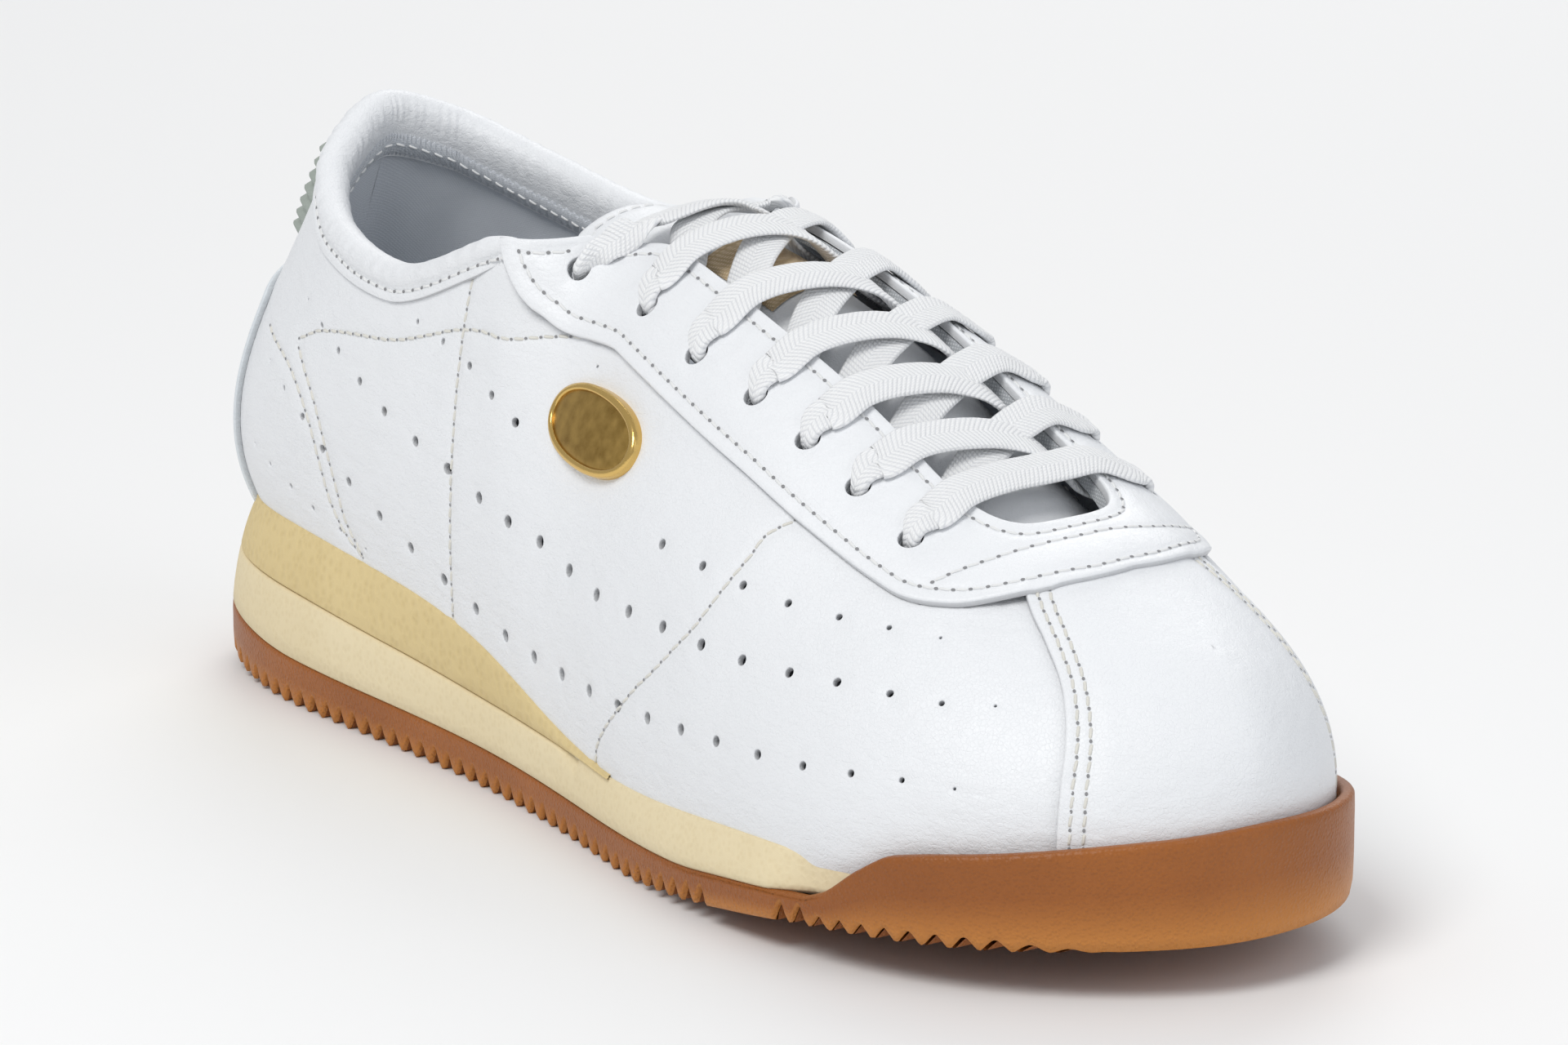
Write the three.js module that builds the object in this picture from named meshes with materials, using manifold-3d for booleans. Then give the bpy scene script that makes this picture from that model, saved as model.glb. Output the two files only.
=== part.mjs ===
// Low-cut court shoe, right foot. Millimetres, +X to the toe, +Y to the inner (medial) side, +Z up.
// The upper is cut from panels that all lie on one last-shaped surface. A place on that surface is (s, h):
// s runs round the shoe in 20 stations, 0 at the middle of the heel, along the outer side to 10 at the toe
// tip and back along the inner side, and h runs from 0 at the sole to 1 at the collar or the instep ridge.
import * as THREE from 'three';
import { mergeVertices } from 'three/addons/utils/BufferGeometryUtils.js';
import Module from 'manifold-3d';

const wasm = await Module();
wasm.setup();

// ---- driving dimensions ----
const STATIONS = 20;
const GAP = 0.3;               // clearance between touching pieces
const LAP = 0.55;              // clearance under pieces that lie on others with a different edge
const LEATHER = 1.2;           // quarters
const OVERLAY = 1.6;           // eyestay, toe cap and backstay stand on the quarters
const FACING = 2.4;            // reinforcement under the eyestay
const COUNTER = [-2.4, -1.5];  // stiffeners, between leather and lining
const LINING = [-3.7, -2.7];
const BINDING = [-4.9, -4.0];
const ROLL_RADIUS = 3.6;
const ROLL_INSET = 2.0;
const QUARTER_TOP = 0.925;     // h where the quarters stop under the collar roll
const FACING_EDGE = 0.30;      // 1 - h of the facing's outer edge
const BOARD = 2.0;
const SOCKLINER = 4.0;
const BOARD_INSET = 4.3;
const WALL = 1.5;              // toe bumper wall
const WALL_OUT = 0.3;
const EYELET_RADIUS = 2.9;
const LACE_WIDTH = 7.3;
const LACE_THICK = 1.2;
const TREAD_ROWS = 72;         // rows along the sole, every second one a groove
const TREAD_DEPTH = 2.0;
const STEP = 0.34;             // stations between neighbouring rows of a panel

// Sole outline, top view.
const OUTLINE = [
  [-132, 0], [-125, -20.5], [-99, -31.5], [-60, -32.7], [-25, -34], [10, -39.5], [45, -46], [80, -45.5],
  [109, -34.5], [127, -14], [132, 4], [127, 23], [109, 38.5], [80, 45], [45, 43.5], [10, 35], [-25, 29],
  [-60, 28.3], [-99, 29], [-125, 20],
];
// Edge of the upper where it meets the sole.
const FEATHER = [
  [-126, 0, 30], [-119, -19, 30], [-95, -27, 30], [-60, -29.5, 26.5], [-25, -32.5, 19], [10, -38.5, 15],
  [45, -43.6, 14.5], [79.5, -42.3, 15], [106, -30.6, 17], [122.5, -12, 19], [126.9, 4, 19.5],
  [122.5, 20.4, 19], [106, 34.6, 17], [79.5, 41.8, 15], [45, 41, 14.5], [10, 34, 15], [-25, 26.5, 19],
  [-60, 25.5, 26.5], [-95, 25, 30], [-119, 17, 30],
];
// How far the side swells out above the feather edge, and how high that swell reaches.
const SWELL = [
  [11, 20], [10, 20], [6, 20], [3, 20], [2, 22], [3, 24], [4.5, 22], [5.5, 20], [5, 16], [3.5, 13],
  [2.5, 12], [3.5, 14], [5, 18], [5.5, 22], [4.5, 26], [3, 26], [2, 24], [3, 20], [6, 20], [10, 20],
];
// Collar line at the back, instep ridge at the front.
const CREST = [
  [-110, 1, 98], [-105, -13, 91.5], [-88, -23, 82], [-64, -27, 79.5], [-33, -25, 90.5], [-10, 5.5, 96.5],
  [28, 6.5, 86], [62, 8, 69.5], [90, 8.5, 57.5], [107, 8.5, 51], [112, 8, 49], [107, 8.5, 51],
  [90, 8.5, 57.5], [62, 8, 69.5], [28, 6.5, 86], [-10, 5.5, 96.5], [-33, 31, 89.5], [-64, 29.5, 82.5],
  [-88, 24, 87.5], [-105, 14, 94.5],
];
// Direction and fullness with which the side arrives at the crest.
const SHOULDER = [
  [-6, 0, -22], [-5, -4, -20], [-3, -6, -18], [0, -5, -17], [2, -7, -22], [0, -28, -1], [0, -30, 0],
  [0, -29, 0], [3, -25, -1], [8, -15, -3], [15, 0, -5], [7, 15, -3], [3, 25, 0], [0, 30, 1], [0, 30, 0.5],
  [0, 28, 0], [2, 6, -22], [0, 4, -18], [-3, 5, -20], [-5, 4, -20],
];
// Heights along the sole: [x, z].
const TREAD_Z = [[-134, 4.8], [-112, 1.2], [-90, 0], [22, 0], [42, 1.6], [60, 4], [80, 6.2], [105, 7.6],
  [134, 8.6]];
const GUM_TOP_Z = [[-134, 12], [-90, 8.4], [-25, 7], [10, 6.6], [42, 7.6], [60, 9.4], [80, 11], [108, 12.6],
  [134, 14]];
const FLAT_BARS = [[-88, -68], [0, 20]];   // stretches of the tread without grooves
const FOAM_TOP_Z = [[-134, 21], [-95, 20], [-60, 17.6], [-25, 15.4], [10, 14.6], [45, 14.1], [80, 14.6],
  [108, 16.6], [134, 19]];
// Toe bumper's top edge: [s, z], and the same on the inner side.
const BUMPER_START = 6.85;
const BUMPER_TOP = [[6.85, 10.2], [7.05, 12], [7.3, 17.5], [7.5, 20.8], [8, 23], [9, 25.8], [10, 26.8],
  [11, 25.8], [12, 23], [12.5, 20.8], [12.7, 17.5], [12.95, 12], [13.15, 10.2]];
// Eyelets from the ankle down: [a, b], with a the station and b = 1 - h.
const EYELETS = [[4.46, 0.14], [5.07, 0.28], [5.51, 0.30], [5.92, 0.29], [6.30, 0.29], [6.66, 0.29],
  [7.06, 0.30]];
const THROAT_OUTER = 0.17;     // throat edge, distance b from the ridge on the outer side
const THROAT_INNER = 0.14;     // and on the inner side

// ---- curves ----
const lerp = THREE.MathUtils.lerp;

// Smooth closed curve through the stations.
function closedCurve(points) {
  const curve = new THREE.CatmullRomCurve3(points.map(([x, y, z = 0]) => new THREE.Vector3(x, y, z)), true,
    'catmullrom', 0.5);
  return (s) => curve.getPoint((((s % STATIONS) + STATIONS) % STATIONS) / STATIONS);
}

// Slope that never overshoots between neighbouring values.
function calmSlope(before, after) {
  return before * after > 0 ? (2 * before * after) / (before + after) : 0;
}

function hermite(p, q, m, n, u) {
  const v = 1 - u;
  return p * (1 + 2 * u) * v * v + q * (3 - 2 * u) * u * u + m * u * v * v - n * u * u * v;
}

// Closed curve whose coordinates don't overshoot, so that both sides of the ridge share one line.
function calmRing(points) {
  return (s) => {
    const i = Math.floor(s);
    const at = (k) => points[(((i + k) % STATIONS) + STATIONS) % STATIONS];
    const value = [0, 1, 2].map((c) => {
      const [o, p, q, r] = [at(-1)[c], at(0)[c], at(1)[c], at(2)[c]];
      return hermite(p, q, calmSlope(p - o, q - p), calmSlope(q - p, r - q), s - i);
    });
    return new THREE.Vector3(...value);
  };
}

// Height read from a short list of [place, height].
function profile(list) {
  const slope = list.map((_, i) => {
    if (i === 0 || i === list.length - 1) return 0;
    const before = (list[i][1] - list[i - 1][1]) / (list[i][0] - list[i - 1][0]);
    const after = (list[i + 1][1] - list[i][1]) / (list[i + 1][0] - list[i][0]);
    return calmSlope(before, after);
  });
  return (x) => {
    let i = list.length - 2;
    while (i > 0 && list[i][0] > x) i -= 1;
    const run = list[i + 1][0] - list[i][0];
    const u = THREE.MathUtils.clamp((x - list[i][0]) / run, 0, 1);
    return hermite(list[i][1], list[i + 1][1], slope[i] * run, slope[i + 1] * run, u);
  };
}

const outline = closedCurve(OUTLINE);
const feather = closedCurve(FEATHER);
const crest = calmRing(CREST);
const shoulder = calmRing(CREST.map((p, i) => p.map((v, c) => v + SHOULDER[i][c])));
const treadZ = profile(TREAD_Z);
const gumTopZ = profile(GUM_TOP_Z);
const foamTopZ = profile(FOAM_TOP_Z);
const bumperTopZ = profile(BUMPER_TOP);

// Horizontal outward direction of a ring.
function outward(ring, s) {
  const d = ring(s + 0.01).sub(ring(s - 0.01));
  return new THREE.Vector3(d.y, -d.x, 0).normalize();
}

const swell = closedCurve(FEATHER.map((p, i) => {
  const out = outward(feather, i).multiplyScalar(SWELL[i][0]);
  return [p[0] + out.x, p[1] + out.y, p[2] + SWELL[i][1]];
}));

// The last surface.
function last(s, h) {
  const g = 1 - h;
  return feather(s).multiplyScalar(g * g * g)
    .add(swell(s).multiplyScalar(3 * g * g * h))
    .add(shoulder(s).multiplyScalar(3 * g * h * h))
    .add(crest(s).multiplyScalar(h * h * h));
}

function skin(s, h, out = 0) {
  const e = 0.004;
  const along = last(s + e, h).sub(last(s - e, h));
  const up = last(s, h + e).sub(last(s, h - e));
  return last(s, h).addScaledVector(along.cross(up).normalize(), out);
}

// The same surface counted across the instep: a is the station, b is 0 on the ridge, negative outside.
function instep(a, b, out = 0) {
  return b <= 0 ? skin(a, 1 + b, out) : skin(STATIONS - a, 1 - b, out);
}

// ---- solids ----
// Box bent by a function of u, v and w, each from 0 to 1.
function bent(nu, nv, nw, place) {
  const geometry = new THREE.BoxGeometry(1, 1, 1, nu, nv, nw);
  const position = geometry.attributes.position;
  for (let i = 0; i < position.count; i += 1) {
    const p = place(position.getX(i) + 0.5, position.getY(i) + 0.5, position.getZ(i) + 0.5);
    position.setXYZ(i, p.x, p.y, p.z);
  }
  return facingOut(geometry);
}

// Turns the faces round when the bend has mirrored them.
function facingOut(geometry) {
  const position = geometry.attributes.position;
  const index = geometry.index;
  const corner = (i) => new THREE.Vector3().fromBufferAttribute(position, index.getX(i));
  let volume = 0;
  for (let i = 0; i < index.count; i += 3) volume += corner(i).dot(corner(i + 1).cross(corner(i + 2)));
  if (volume > 0) return geometry;
  for (let i = 0; i < index.count; i += 3) {
    const second = index.getX(i + 1);
    index.setX(i + 1, index.getX(i + 2));
    index.setX(i + 2, second);
  }
  return geometry;
}

function toSolid(geometry) {
  const bare = geometry.clone();
  bare.deleteAttribute('normal');
  bare.deleteAttribute('uv');
  const merged = mergeVertices(bare, 1e-4);
  return new wasm.Manifold(new wasm.Mesh({
    numProp: 3,
    vertProperties: new Float32Array(merged.attributes.position.array),
    triVerts: new Uint32Array(merged.index.array),
  }));
}

function fromSolid(solid) {
  const mesh = solid.getMesh();
  const geometry = new THREE.BufferGeometry();
  geometry.setAttribute('position', new THREE.BufferAttribute(new Float32Array(mesh.vertProperties), 3));
  geometry.setIndex(new THREE.BufferAttribute(new Uint32Array(mesh.triVerts), 1));
  geometry.computeVertexNormals();
  return geometry;
}

const join = (...parts) => fromSolid(parts.map(toSolid).reduce((sum, part) => sum.add(part)).simplify(0.01));
const cut = (body, tools) => fromSolid(
  tools.map(toSolid).reduce((left, tool) => left.subtract(tool), toSolid(body)),
);

// Panel between two h limits over a run of stations, from one depth to another. Its rows fall on the
// same stations in every panel, so that layers stay parallel.
function panel(s0, s1, low, high, [inside, outside], rows = 7) {
  const stops = [s0];
  for (let k = Math.ceil((s0 + 0.05) / STEP); k * STEP < s1 - 0.05; k += 1) stops.push(k * STEP);
  stops.push(s1);
  return bent(stops.length - 1, rows, 1, (u, v, w) => {
    const s = stops[Math.round(u * (stops.length - 1))];
    return skin(s, lerp(low(s), high(s), v), lerp(inside, outside, w));
  });
}

// Shell over the toe behind a seam [a, b] that runs from the ridge down to the sole: an outer and an inner
// half that overlap a little on the middle line, joined. The seam is the same on both sides.
function toeShell(seam, [inside, outside], across = 8, along = 8) {
  const half = (side) => bent(across, along, 1, (u, v, w) => {
    const at = Math.min(u * (seam.length - 1), seam.length - 1 - 1e-9);
    const i = Math.floor(at);
    const a0 = lerp(seam[i][0], seam[i + 1][0], at - i);
    const b0 = lerp(seam[i][1], seam[i + 1][1], at - i);
    const a = lerp(a0, 10.02, v);
    const b = lerp(b0, u * 0.99, v);
    return instep(a, side * Math.max(b, 1e-6) - side * (u === 0 ? 0.012 : 0), lerp(inside, outside, w));
  });
  return join(half(-1), half(1));
}

// Slab across the sole, from ring to ring.
function slab(s0, s1, low, high, lowZ, highZ, rows = 28, across = 3) {
  return bent(rows, across, 1, (u, v, w) => {
    const s = lerp(s0, s1, u);
    const bottom = low(s).lerp(low(STATIONS - s), v);
    const top = high(s).lerp(high(STATIONS - s), v);
    bottom.z = lowZ(bottom.x, s);
    top.z = highZ(top.x, s);
    return bottom.lerp(top, w);
  });
}

// Ring moved inwards.
const inset = (ring, distance) => (s) => {
  const by = typeof distance === 'function' ? distance(s) : distance;
  return ring(s).addScaledVector(outward(ring, s), -by);
};
const featherZ = profile(FEATHER.slice(0, 11).map(([x, , z]) => [x, z]));

// ---- sole ----
const BLUNT = 0.12;            // the slabs stop this far short of the middle of heel and toe

// Grooves run across the tread, except under the heel and the waist, where a flat bar is left.
function treadDepth(row, x) {
  const bar = FLAT_BARS.some(([from, to]) => x > from && x < to);
  return bar || row % 2 === 0 ? 0 : TREAD_DEPTH;
}

function outsole() {
  const edge = inset(outline, 1.2);
  const base = bent(TREAD_ROWS, 2, 1, (u, v, w) => {
    const s = lerp(BLUNT, 10 - BLUNT, u);
    const ring = w < 0.5 ? edge : outline;
    const p = ring(s).lerp(ring(STATIONS - s), v);
    p.z = w < 0.5 ? treadZ(p.x) + treadDepth(Math.round(u * TREAD_ROWS), p.x) : gumTopZ(p.x);
    return p;
  });
  const wall = bent(26, 2, 1, (u, v, w) => {
    const s = lerp(BUMPER_START, STATIONS - BUMPER_START, u);
    const p = outline(s).addScaledVector(outward(outline, s), lerp(-WALL, WALL_OUT, w));
    p.z = lerp(gumTopZ(p.x) - 2, bumperTopZ(s), v);
    return p;
  });
  return join(base, wall);
}

// The foam pulls in where the bumper wall wraps it.
const wrapped = (s) => {
  const within = Math.min(s, STATIONS - s) - (BUMPER_START - 0.25);
  return THREE.MathUtils.clamp(within * 9, 0, WALL + 2 * GAP);
};

function midsole() {
  const top = (s) => outline(s).lerp(feather(s), 0.3);
  return slab(BLUNT, 10 - BLUNT, inset(outline, wrapped), inset(top, (s) => wrapped(s) * 0.8),
    (x) => gumTopZ(x) + LAP, foamTopZ);
}

function heelWedge() {
  const foot = (s) => outline(s).lerp(feather(s), 0.3);
  return slab(BLUNT, 4.5, foot, feather, (x) => foamTopZ(x) + GAP, (x) => featherZ(x) - GAP, 14);
}

const innerRing = inset(feather, BOARD_INSET);
function lastingBoard() {
  return slab(0.3, 9.7, innerRing, innerRing, (x) => featherZ(x) + GAP, (x) => featherZ(x) + GAP + BOARD);
}

function sockliner() {
  const base = 2 * GAP + BOARD;
  return slab(0.3, 9.7, innerRing, innerRing, (x) => featherZ(x) + base,
    (x) => featherZ(x) + base + SOCKLINER);
}

// ---- upper ----
// Seam of the toe cap, from the tip of the eyestay down to the sole: [a, b].
const CAP_SEAM = [[8.20, 0], [8.14, 0.08], [8.02, 0.17], [7.92, 0.25], [8.12, 0.32], [8.30, 0.40],
  [8.40, 0.52], [8.43, 0.66], [8.43, 0.82], [8.43, 0.99]];
const LINING_SEAM = [[8.26, 0], [8.26, 0.10], [8.30, 0.16], [8.48, 0.23], [8.66, 0.30], [8.66, 0.50],
  [8.66, 0.75], [8.66, 0.99]];
const PUFF_SEAM = [[8.95, 0], [8.95, 0.2], [8.95, 0.4], [8.95, 0.6], [8.95, 0.8], [8.95, 0.97]];
const bottom = () => 0.005;

// Upper edge of the quarters: under the collar roll, then down under the eyestay.
const quarterTop = profile([[0, QUARTER_TOP], [3.9, QUARTER_TOP], [4.1, 0.86], [4.4, 0.73], [4.8, 0.67],
  [5.3, 0.68], [7.4, 0.68], [7.6, 0.685], [7.8, 0.735], [8, 0.79], [8.2, 0.79], [8.4, 0.72],
  [8.56, 0.66]]);
const QUARTER_FRONT = 8.56;

function quarter(side) {
  const place = (s) => (side < 0 ? s : STATIONS - s);
  const [from, to] = side < 0 ? [0.02, QUARTER_FRONT] : [STATIONS - QUARTER_FRONT, STATIONS - 0.02];
  return panel(from, to, bottom, (s) => quarterTop(place(s)), [-LEATHER, 0]);
}

function lining(side) {
  const place = (s) => (side < 0 ? s : STATIONS - s);
  const [from, to] = side < 0 ? [0.02, QUARTER_FRONT] : [STATIONS - QUARTER_FRONT, STATIONS - 0.02];
  return panel(from, to, bottom, (s) => quarterTop(place(s)), LINING);
}

// Eyestay: pairs of outer and inner edge places [a, b] from the outer leg's top round the throat.
const EYESTAY_OUTER_SIDE = [
  [[4.08, -0.03], [4.40, -0.06]], [[4.20, -0.14], [4.60, -0.12]], [[4.36, -0.22], [4.84, -0.155]],
  [[4.72, -0.32], [5.15, -THROAT_OUTER]], [[5.10, -0.36], [5.45, -THROAT_OUTER]],
  [[5.45, -0.38], [5.70, -THROAT_OUTER]], [[5.80, -0.39], [5.95, -THROAT_OUTER]],
  [[6.15, -0.39], [6.20, -THROAT_OUTER]], [[6.50, -0.40], [6.50, -THROAT_OUTER]],
  [[6.85, -0.40], [6.80, -THROAT_OUTER]], [[7.15, -0.39], [7.10, -THROAT_OUTER]],
  [[7.42, -0.36], [7.32, -0.15]], [[7.75, -0.25], [7.46, -0.11]], [[7.98, -0.12], [7.53, -0.05]],
  [[8.07, 0.01], [7.54, 0.01]],
];
const EYESTAY_INNER_SIDE = EYESTAY_OUTER_SIDE.slice(0, -1).reverse().map(([[a, b], [c, d]]) => {
  const narrower = c < 4.7 ? 1 : THROAT_INNER / THROAT_OUTER;
  return [[a, -b], [c, -d * narrower]];
});
const EYESTAY = [...EYESTAY_OUTER_SIDE, ...EYESTAY_INNER_SIDE];

function throatFrame(places, depth, across, split = 1) {
  const [inside, outside] = depth;
  const rows = (places.length - 1) * split;
  return bent(rows, across, 1, (u, v, w) => {
    const at = Math.min(u * (places.length - 1), places.length - 1 - 1e-9);
    const i = Math.floor(at);
    const mix = (k, c) => lerp(places[i][k][c], places[i + 1][k][c], at - i);
    const a = lerp(mix(0, 0), mix(1, 0), v);
    const b = lerp(mix(0, 1), mix(1, 1), v);
    return instep(a, b, lerp(inside, outside, w));
  });
}

// The facing stops at the quarters' upper edge.
const FACING_PLACES = EYESTAY.slice(1, -1).map(([[a, b], [c, d]]) => {
  const corner = a < 4.4 ? 0.18 : 0.04;
  const share = Math.max(corner, (Math.abs(b) - FACING_EDGE) / (Math.abs(b) - Math.abs(d) + 1e-9));
  return [[lerp(a, c, share), lerp(b, d, share)], [c, d]];
});

// Turn that lays a cylinder along an axis.
const turned = (axis) => new THREE.Quaternion().setFromUnitVectors(new THREE.Vector3(0, 1, 0), axis);

function eyeletPins(length) {
  const pins = [];
  EYELETS.forEach(([a, b]) => [-1, 1].forEach((side) => {
    const pin = new THREE.CylinderGeometry(EYELET_RADIUS, EYELET_RADIUS, length, 6);
    const axis = instep(a, side * b, 1).sub(instep(a, side * b, 0)).normalize();
    pin.applyQuaternion(turned(axis));
    const middle = instep(a, side * b, -0.3);
    pin.translate(middle.x, middle.y, middle.z);
    pins.push(pin);
  }));
  return pins;
}

const eyestay = () => cut(throatFrame(EYESTAY, [LAP, LAP + OVERLAY], 4), eyeletPins(12));
const facing = () => cut(throatFrame(FACING_PLACES, [-FACING, 0], 4), eyeletPins(12));

// Roll of padded leather round the ankle opening.
function collarRoll() {
  const points = [];
  for (let s = 3.85; s >= -3.85; s -= STEP) points.push(skin(s, 1, -ROLL_INSET));
  const path = new THREE.CatmullRomCurve3(points);
  const section = new THREE.Shape().absarc(0, 0, ROLL_RADIUS, 0, Math.PI * 2);
  return new THREE.ExtrudeGeometry(section, { steps: 34, curveSegments: 5, extrudePath: path });
}

const collarBinding = () => panel(-3.8, 3.8, () => 0.76, () => QUARTER_TOP, BINDING, 1);
const heelCounter = () => panel(-3.2, 3.2, () => 0.02, () => 0.6, COUNTER, 5);
const backstay = () => panel(-1.15, 1.15, () => 0.01, () => 0.62, [LAP, LAP + 1], 6);

// Ridged grip tab on the back of the heel.
function heelTab() {
  const ridges = 7;
  const base = 3.4;
  const ridge = 1.8;
  return bent(4, ridges * 2, 1, (u, v, w) => {
    const crown = Math.round(v * ridges * 2) % 2 === 1 ? ridge : 0;
    return skin(lerp(-0.55, 0.55, u), lerp(0.655, 0.9, v), w < 0.5 ? GAP : GAP + base + crown);
  });
}

// ---- tongue ----
const tongueZ = profile([[-38, 93], [-22, 92.3], [-8, 91.9], [10, 87.9], [28, 81.3], [45, 72.9], [62, 64.2],
  [79, 56.2]]);
const tongueDrop = profile([[-38, 0.03], [-30, 0.032], [-14, 0.045], [-4, 0.046], [10, 0.042], [20, 0.038],
  [30, 0.035], [50, 0.029], [79, 0.022]]);
const tongueHalf = profile([[-38, 16], [-30, 17], [-20, 16], [-12, 15.6], [0, 16.5], [28, 19], [62, 18],
  [79, 13]]);
const tongueMiddle = profile([[-38, 4], [-12, 4], [0, 4.7], [30, 6.3], [50, 7.5], [79, 7.8]]);

function tongueAt(x, y, depth) {
  const height = (px, py) => tongueZ(px) - tongueDrop(px) * (py - tongueMiddle(px)) ** 2;
  const py = tongueMiddle(x) + y;
  const slopeX = (height(x + 0.5, py) - height(x - 0.5, py));
  const slopeY = (height(x, py + 0.5) - height(x, py - 0.5));
  const normal = new THREE.Vector3(-slopeX, -slopeY, 1).normalize();
  return new THREE.Vector3(x, py, height(x, py)).addScaledVector(normal, -depth);
}

function tongueLayer(top, base, trim) {
  return bent(17, 6, 1, (u, v, w) => {
    const x = lerp(-38 + trim, 78 - trim, u);
    return tongueAt(x, (2 * v - 1) * (tongueHalf(x) - trim), lerp(base, top, w));
  });
}

const tonguePatch = () => bent(3, 4, 1, (u, v, w) => (
  tongueAt(lerp(-5, 12, u), (2 * v - 1) * 7, -lerp(GAP, 0.9, w))));

// ---- lace ----
// Places [a, b, height over the surface, width, thickness].
const OVER = LAP + OVERLAY + GAP + LACE_THICK / 2 + 0.3;
const UNDER = -FACING - GAP - LACE_THICK / 2 - 0.2;
const THROAT = { '-1': THROAT_OUTER, 1: THROAT_INNER };

// Down through an eyelet and back under the facing to the throat.
function throughEyelet(side, row) {
  const [a, b] = EYELETS[row];
  const edge = THROAT[side];
  return [
    [a + 0.03, side * (b * 0.5 + edge * 0.5), OVER, LACE_WIDTH, LACE_THICK],
    [a, side * (b - 0.038), OVER, 4.6, 1.4],
    [a, side * (b - 0.008), OVER - 0.1, 2.8, 1.6],
    [a, side * b, 1.2, 2.6, 1.8],
    [a, side * b, -2, 2.6, 1.8],
    [a, side * (b - 0.012), UNDER - 0.3, 2.8, 1.6],
    [a, side * (b - 0.05), UNDER - 0.1, 5, 1.3],
    [a - 0.03, side * (edge - 0.03), UNDER, LACE_WIDTH, LACE_THICK],
  ];
}

// From the throat edge at one row across the tongue to the eyelet one row nearer the ankle.
function crossing(fromSide, row) {
  const toSide = -fromSide;
  const [a0] = EYELETS[row];
  const [a1] = EYELETS[row - 1];
  const lift = toSide < 0 ? 2.6 : 0.4;
  return [
    [lerp(a0, a1, 0.25), fromSide * THROAT[fromSide] * 0.55, lift - 1.5, LACE_WIDTH, LACE_THICK],
    [lerp(a0, a1, 0.5), 0, lift, LACE_WIDTH, LACE_THICK],
    [lerp(a0, a1, 0.72), toSide * THROAT[toSide] * 0.6, (lift + OVER) / 2 + 0.3, LACE_WIDTH, LACE_THICK],
    [lerp(a0, a1, 0.88), toSide * THROAT[toSide], OVER + 0.2, LACE_WIDTH, LACE_THICK],
  ];
}

// Over the throat's corner to the last eyelet, and inside it down between the tongue's edge and the lining.
function lastEyelet(side) {
  const [a, b] = EYELETS[0];
  return [
    [4.70, side * 0.10, OVER + 1.0, 5, LACE_THICK],
    [4.60, side * 0.122, OVER + 1.3, 3.2, LACE_THICK],
    [4.52, side * 0.134, OVER + 1.0, 2.8, 1.2],
    [4.47, side * b, OVER, 2.6, 1.4],
    [a, side * b, 1.2, 2.6, 1.8],
    [a, side * b, -2, 2.6, 1.8],
    [a + 0.01, side * 0.155, UNDER - 0.3, 2.8, 1.6],
    [4.52, side * 0.21, UNDER - 0.1, 4, 1.3],
    [4.58, side * 0.26, -4.2, 3.6, 1.3],
    [4.68, side * 0.34, -5.2, 4, 1.3],
    [5.0, side * 0.42, -5.2, 4, 1.3],
    [5.35, side * 0.47, -5.2, 4, 1.4],
    [5.7, side * 0.5, -5.2, 2.4, 2],
  ];
}

function laceChain(side) {
  const places = throughEyelet(side, EYELETS.length - 1);
  let from = side;
  for (let row = EYELETS.length - 1; row > 0; row -= 1) {
    places.push(...(row > 1 ? crossing(from, row) : crossing(from, row).slice(0, 3)));
    from = -from;
    places.push(...(row > 1 ? throughEyelet(from, row - 1) : lastEyelet(from)));
  }
  return places;
}

function lacePlaces() {
  const a = EYELETS[EYELETS.length - 1][0];
  const bar = [
    [a + 0.04, -THROAT_OUTER, OVER, LACE_WIDTH, LACE_THICK],
    [a + 0.08, 0, 1.7, LACE_WIDTH, LACE_THICK],
    [a + 0.04, THROAT_INNER, OVER, LACE_WIDTH, LACE_THICK],
  ];
  return [...laceChain(-1).reverse(), ...bar, ...laceChain(1)];
}

function lace() {
  const places = lacePlaces();
  const middle = (a, b, out) => (b === 0
    ? instep(a, -1e-6, out).add(instep(a, 1e-6, out)).multiplyScalar(0.5) : instep(a, b, out));
  const points = places.map(([a, b, out]) => middle(a, b, out));
  const wide = places.map(([a, b, out]) => (
    middle(a + 0.05, b, out).sub(middle(a - 0.05, b, out)).normalize()));
  const rows = points.length - 1;
  return bent(1, 1, rows, (u, v, w) => {
    const i = Math.round(w * rows);
    const before = points[Math.max(i - 1, 0)];
    const after = points[Math.min(i + 1, rows)];
    const arriving = points[i].clone().sub(before).normalize();
    const leaving = after.clone().sub(points[i]).normalize();
    const tangent = arriving.add(leaving).normalize();
    const across = wide[i].clone().addScaledVector(tangent, -wide[i].dot(tangent)).normalize();
    const normal = tangent.clone().cross(across);
    return points[i].clone().addScaledVector(across, (u - 0.5) * places[i][3])
      .addScaledVector(normal, (v - 0.5) * places[i][4]);
  });
}

// Tube that closes the lace's end.
function aglet(side) {
  const start = instep(5.74, side * 0.503, -5.2);
  const end = instep(6.4, side * 0.54, -5.2);
  const axis = end.clone().sub(start);
  const tube = new THREE.CylinderGeometry(1.3, 1.3, axis.length(), 10);
  tube.applyQuaternion(turned(axis.normalize()));
  const middle = start.lerp(end, 0.5);
  return tube.translate(middle.x, middle.y, middle.z);
}

// ---- badge ----
const BADGE = { s: 4.9, h: 0.52, long: 13.4, high: 6.9, pin: 7 };

function onBadge(p, q, out) {
  const { s, h } = BADGE;
  const perStation = last(s + 0.1, h).distanceTo(last(s - 0.1, h)) / 0.2;
  const perHeight = last(s, h + 0.05).distanceTo(last(s, h - 0.05)) / 0.1;
  return skin(s + p / perStation, h + q / perHeight, out);
}

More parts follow.
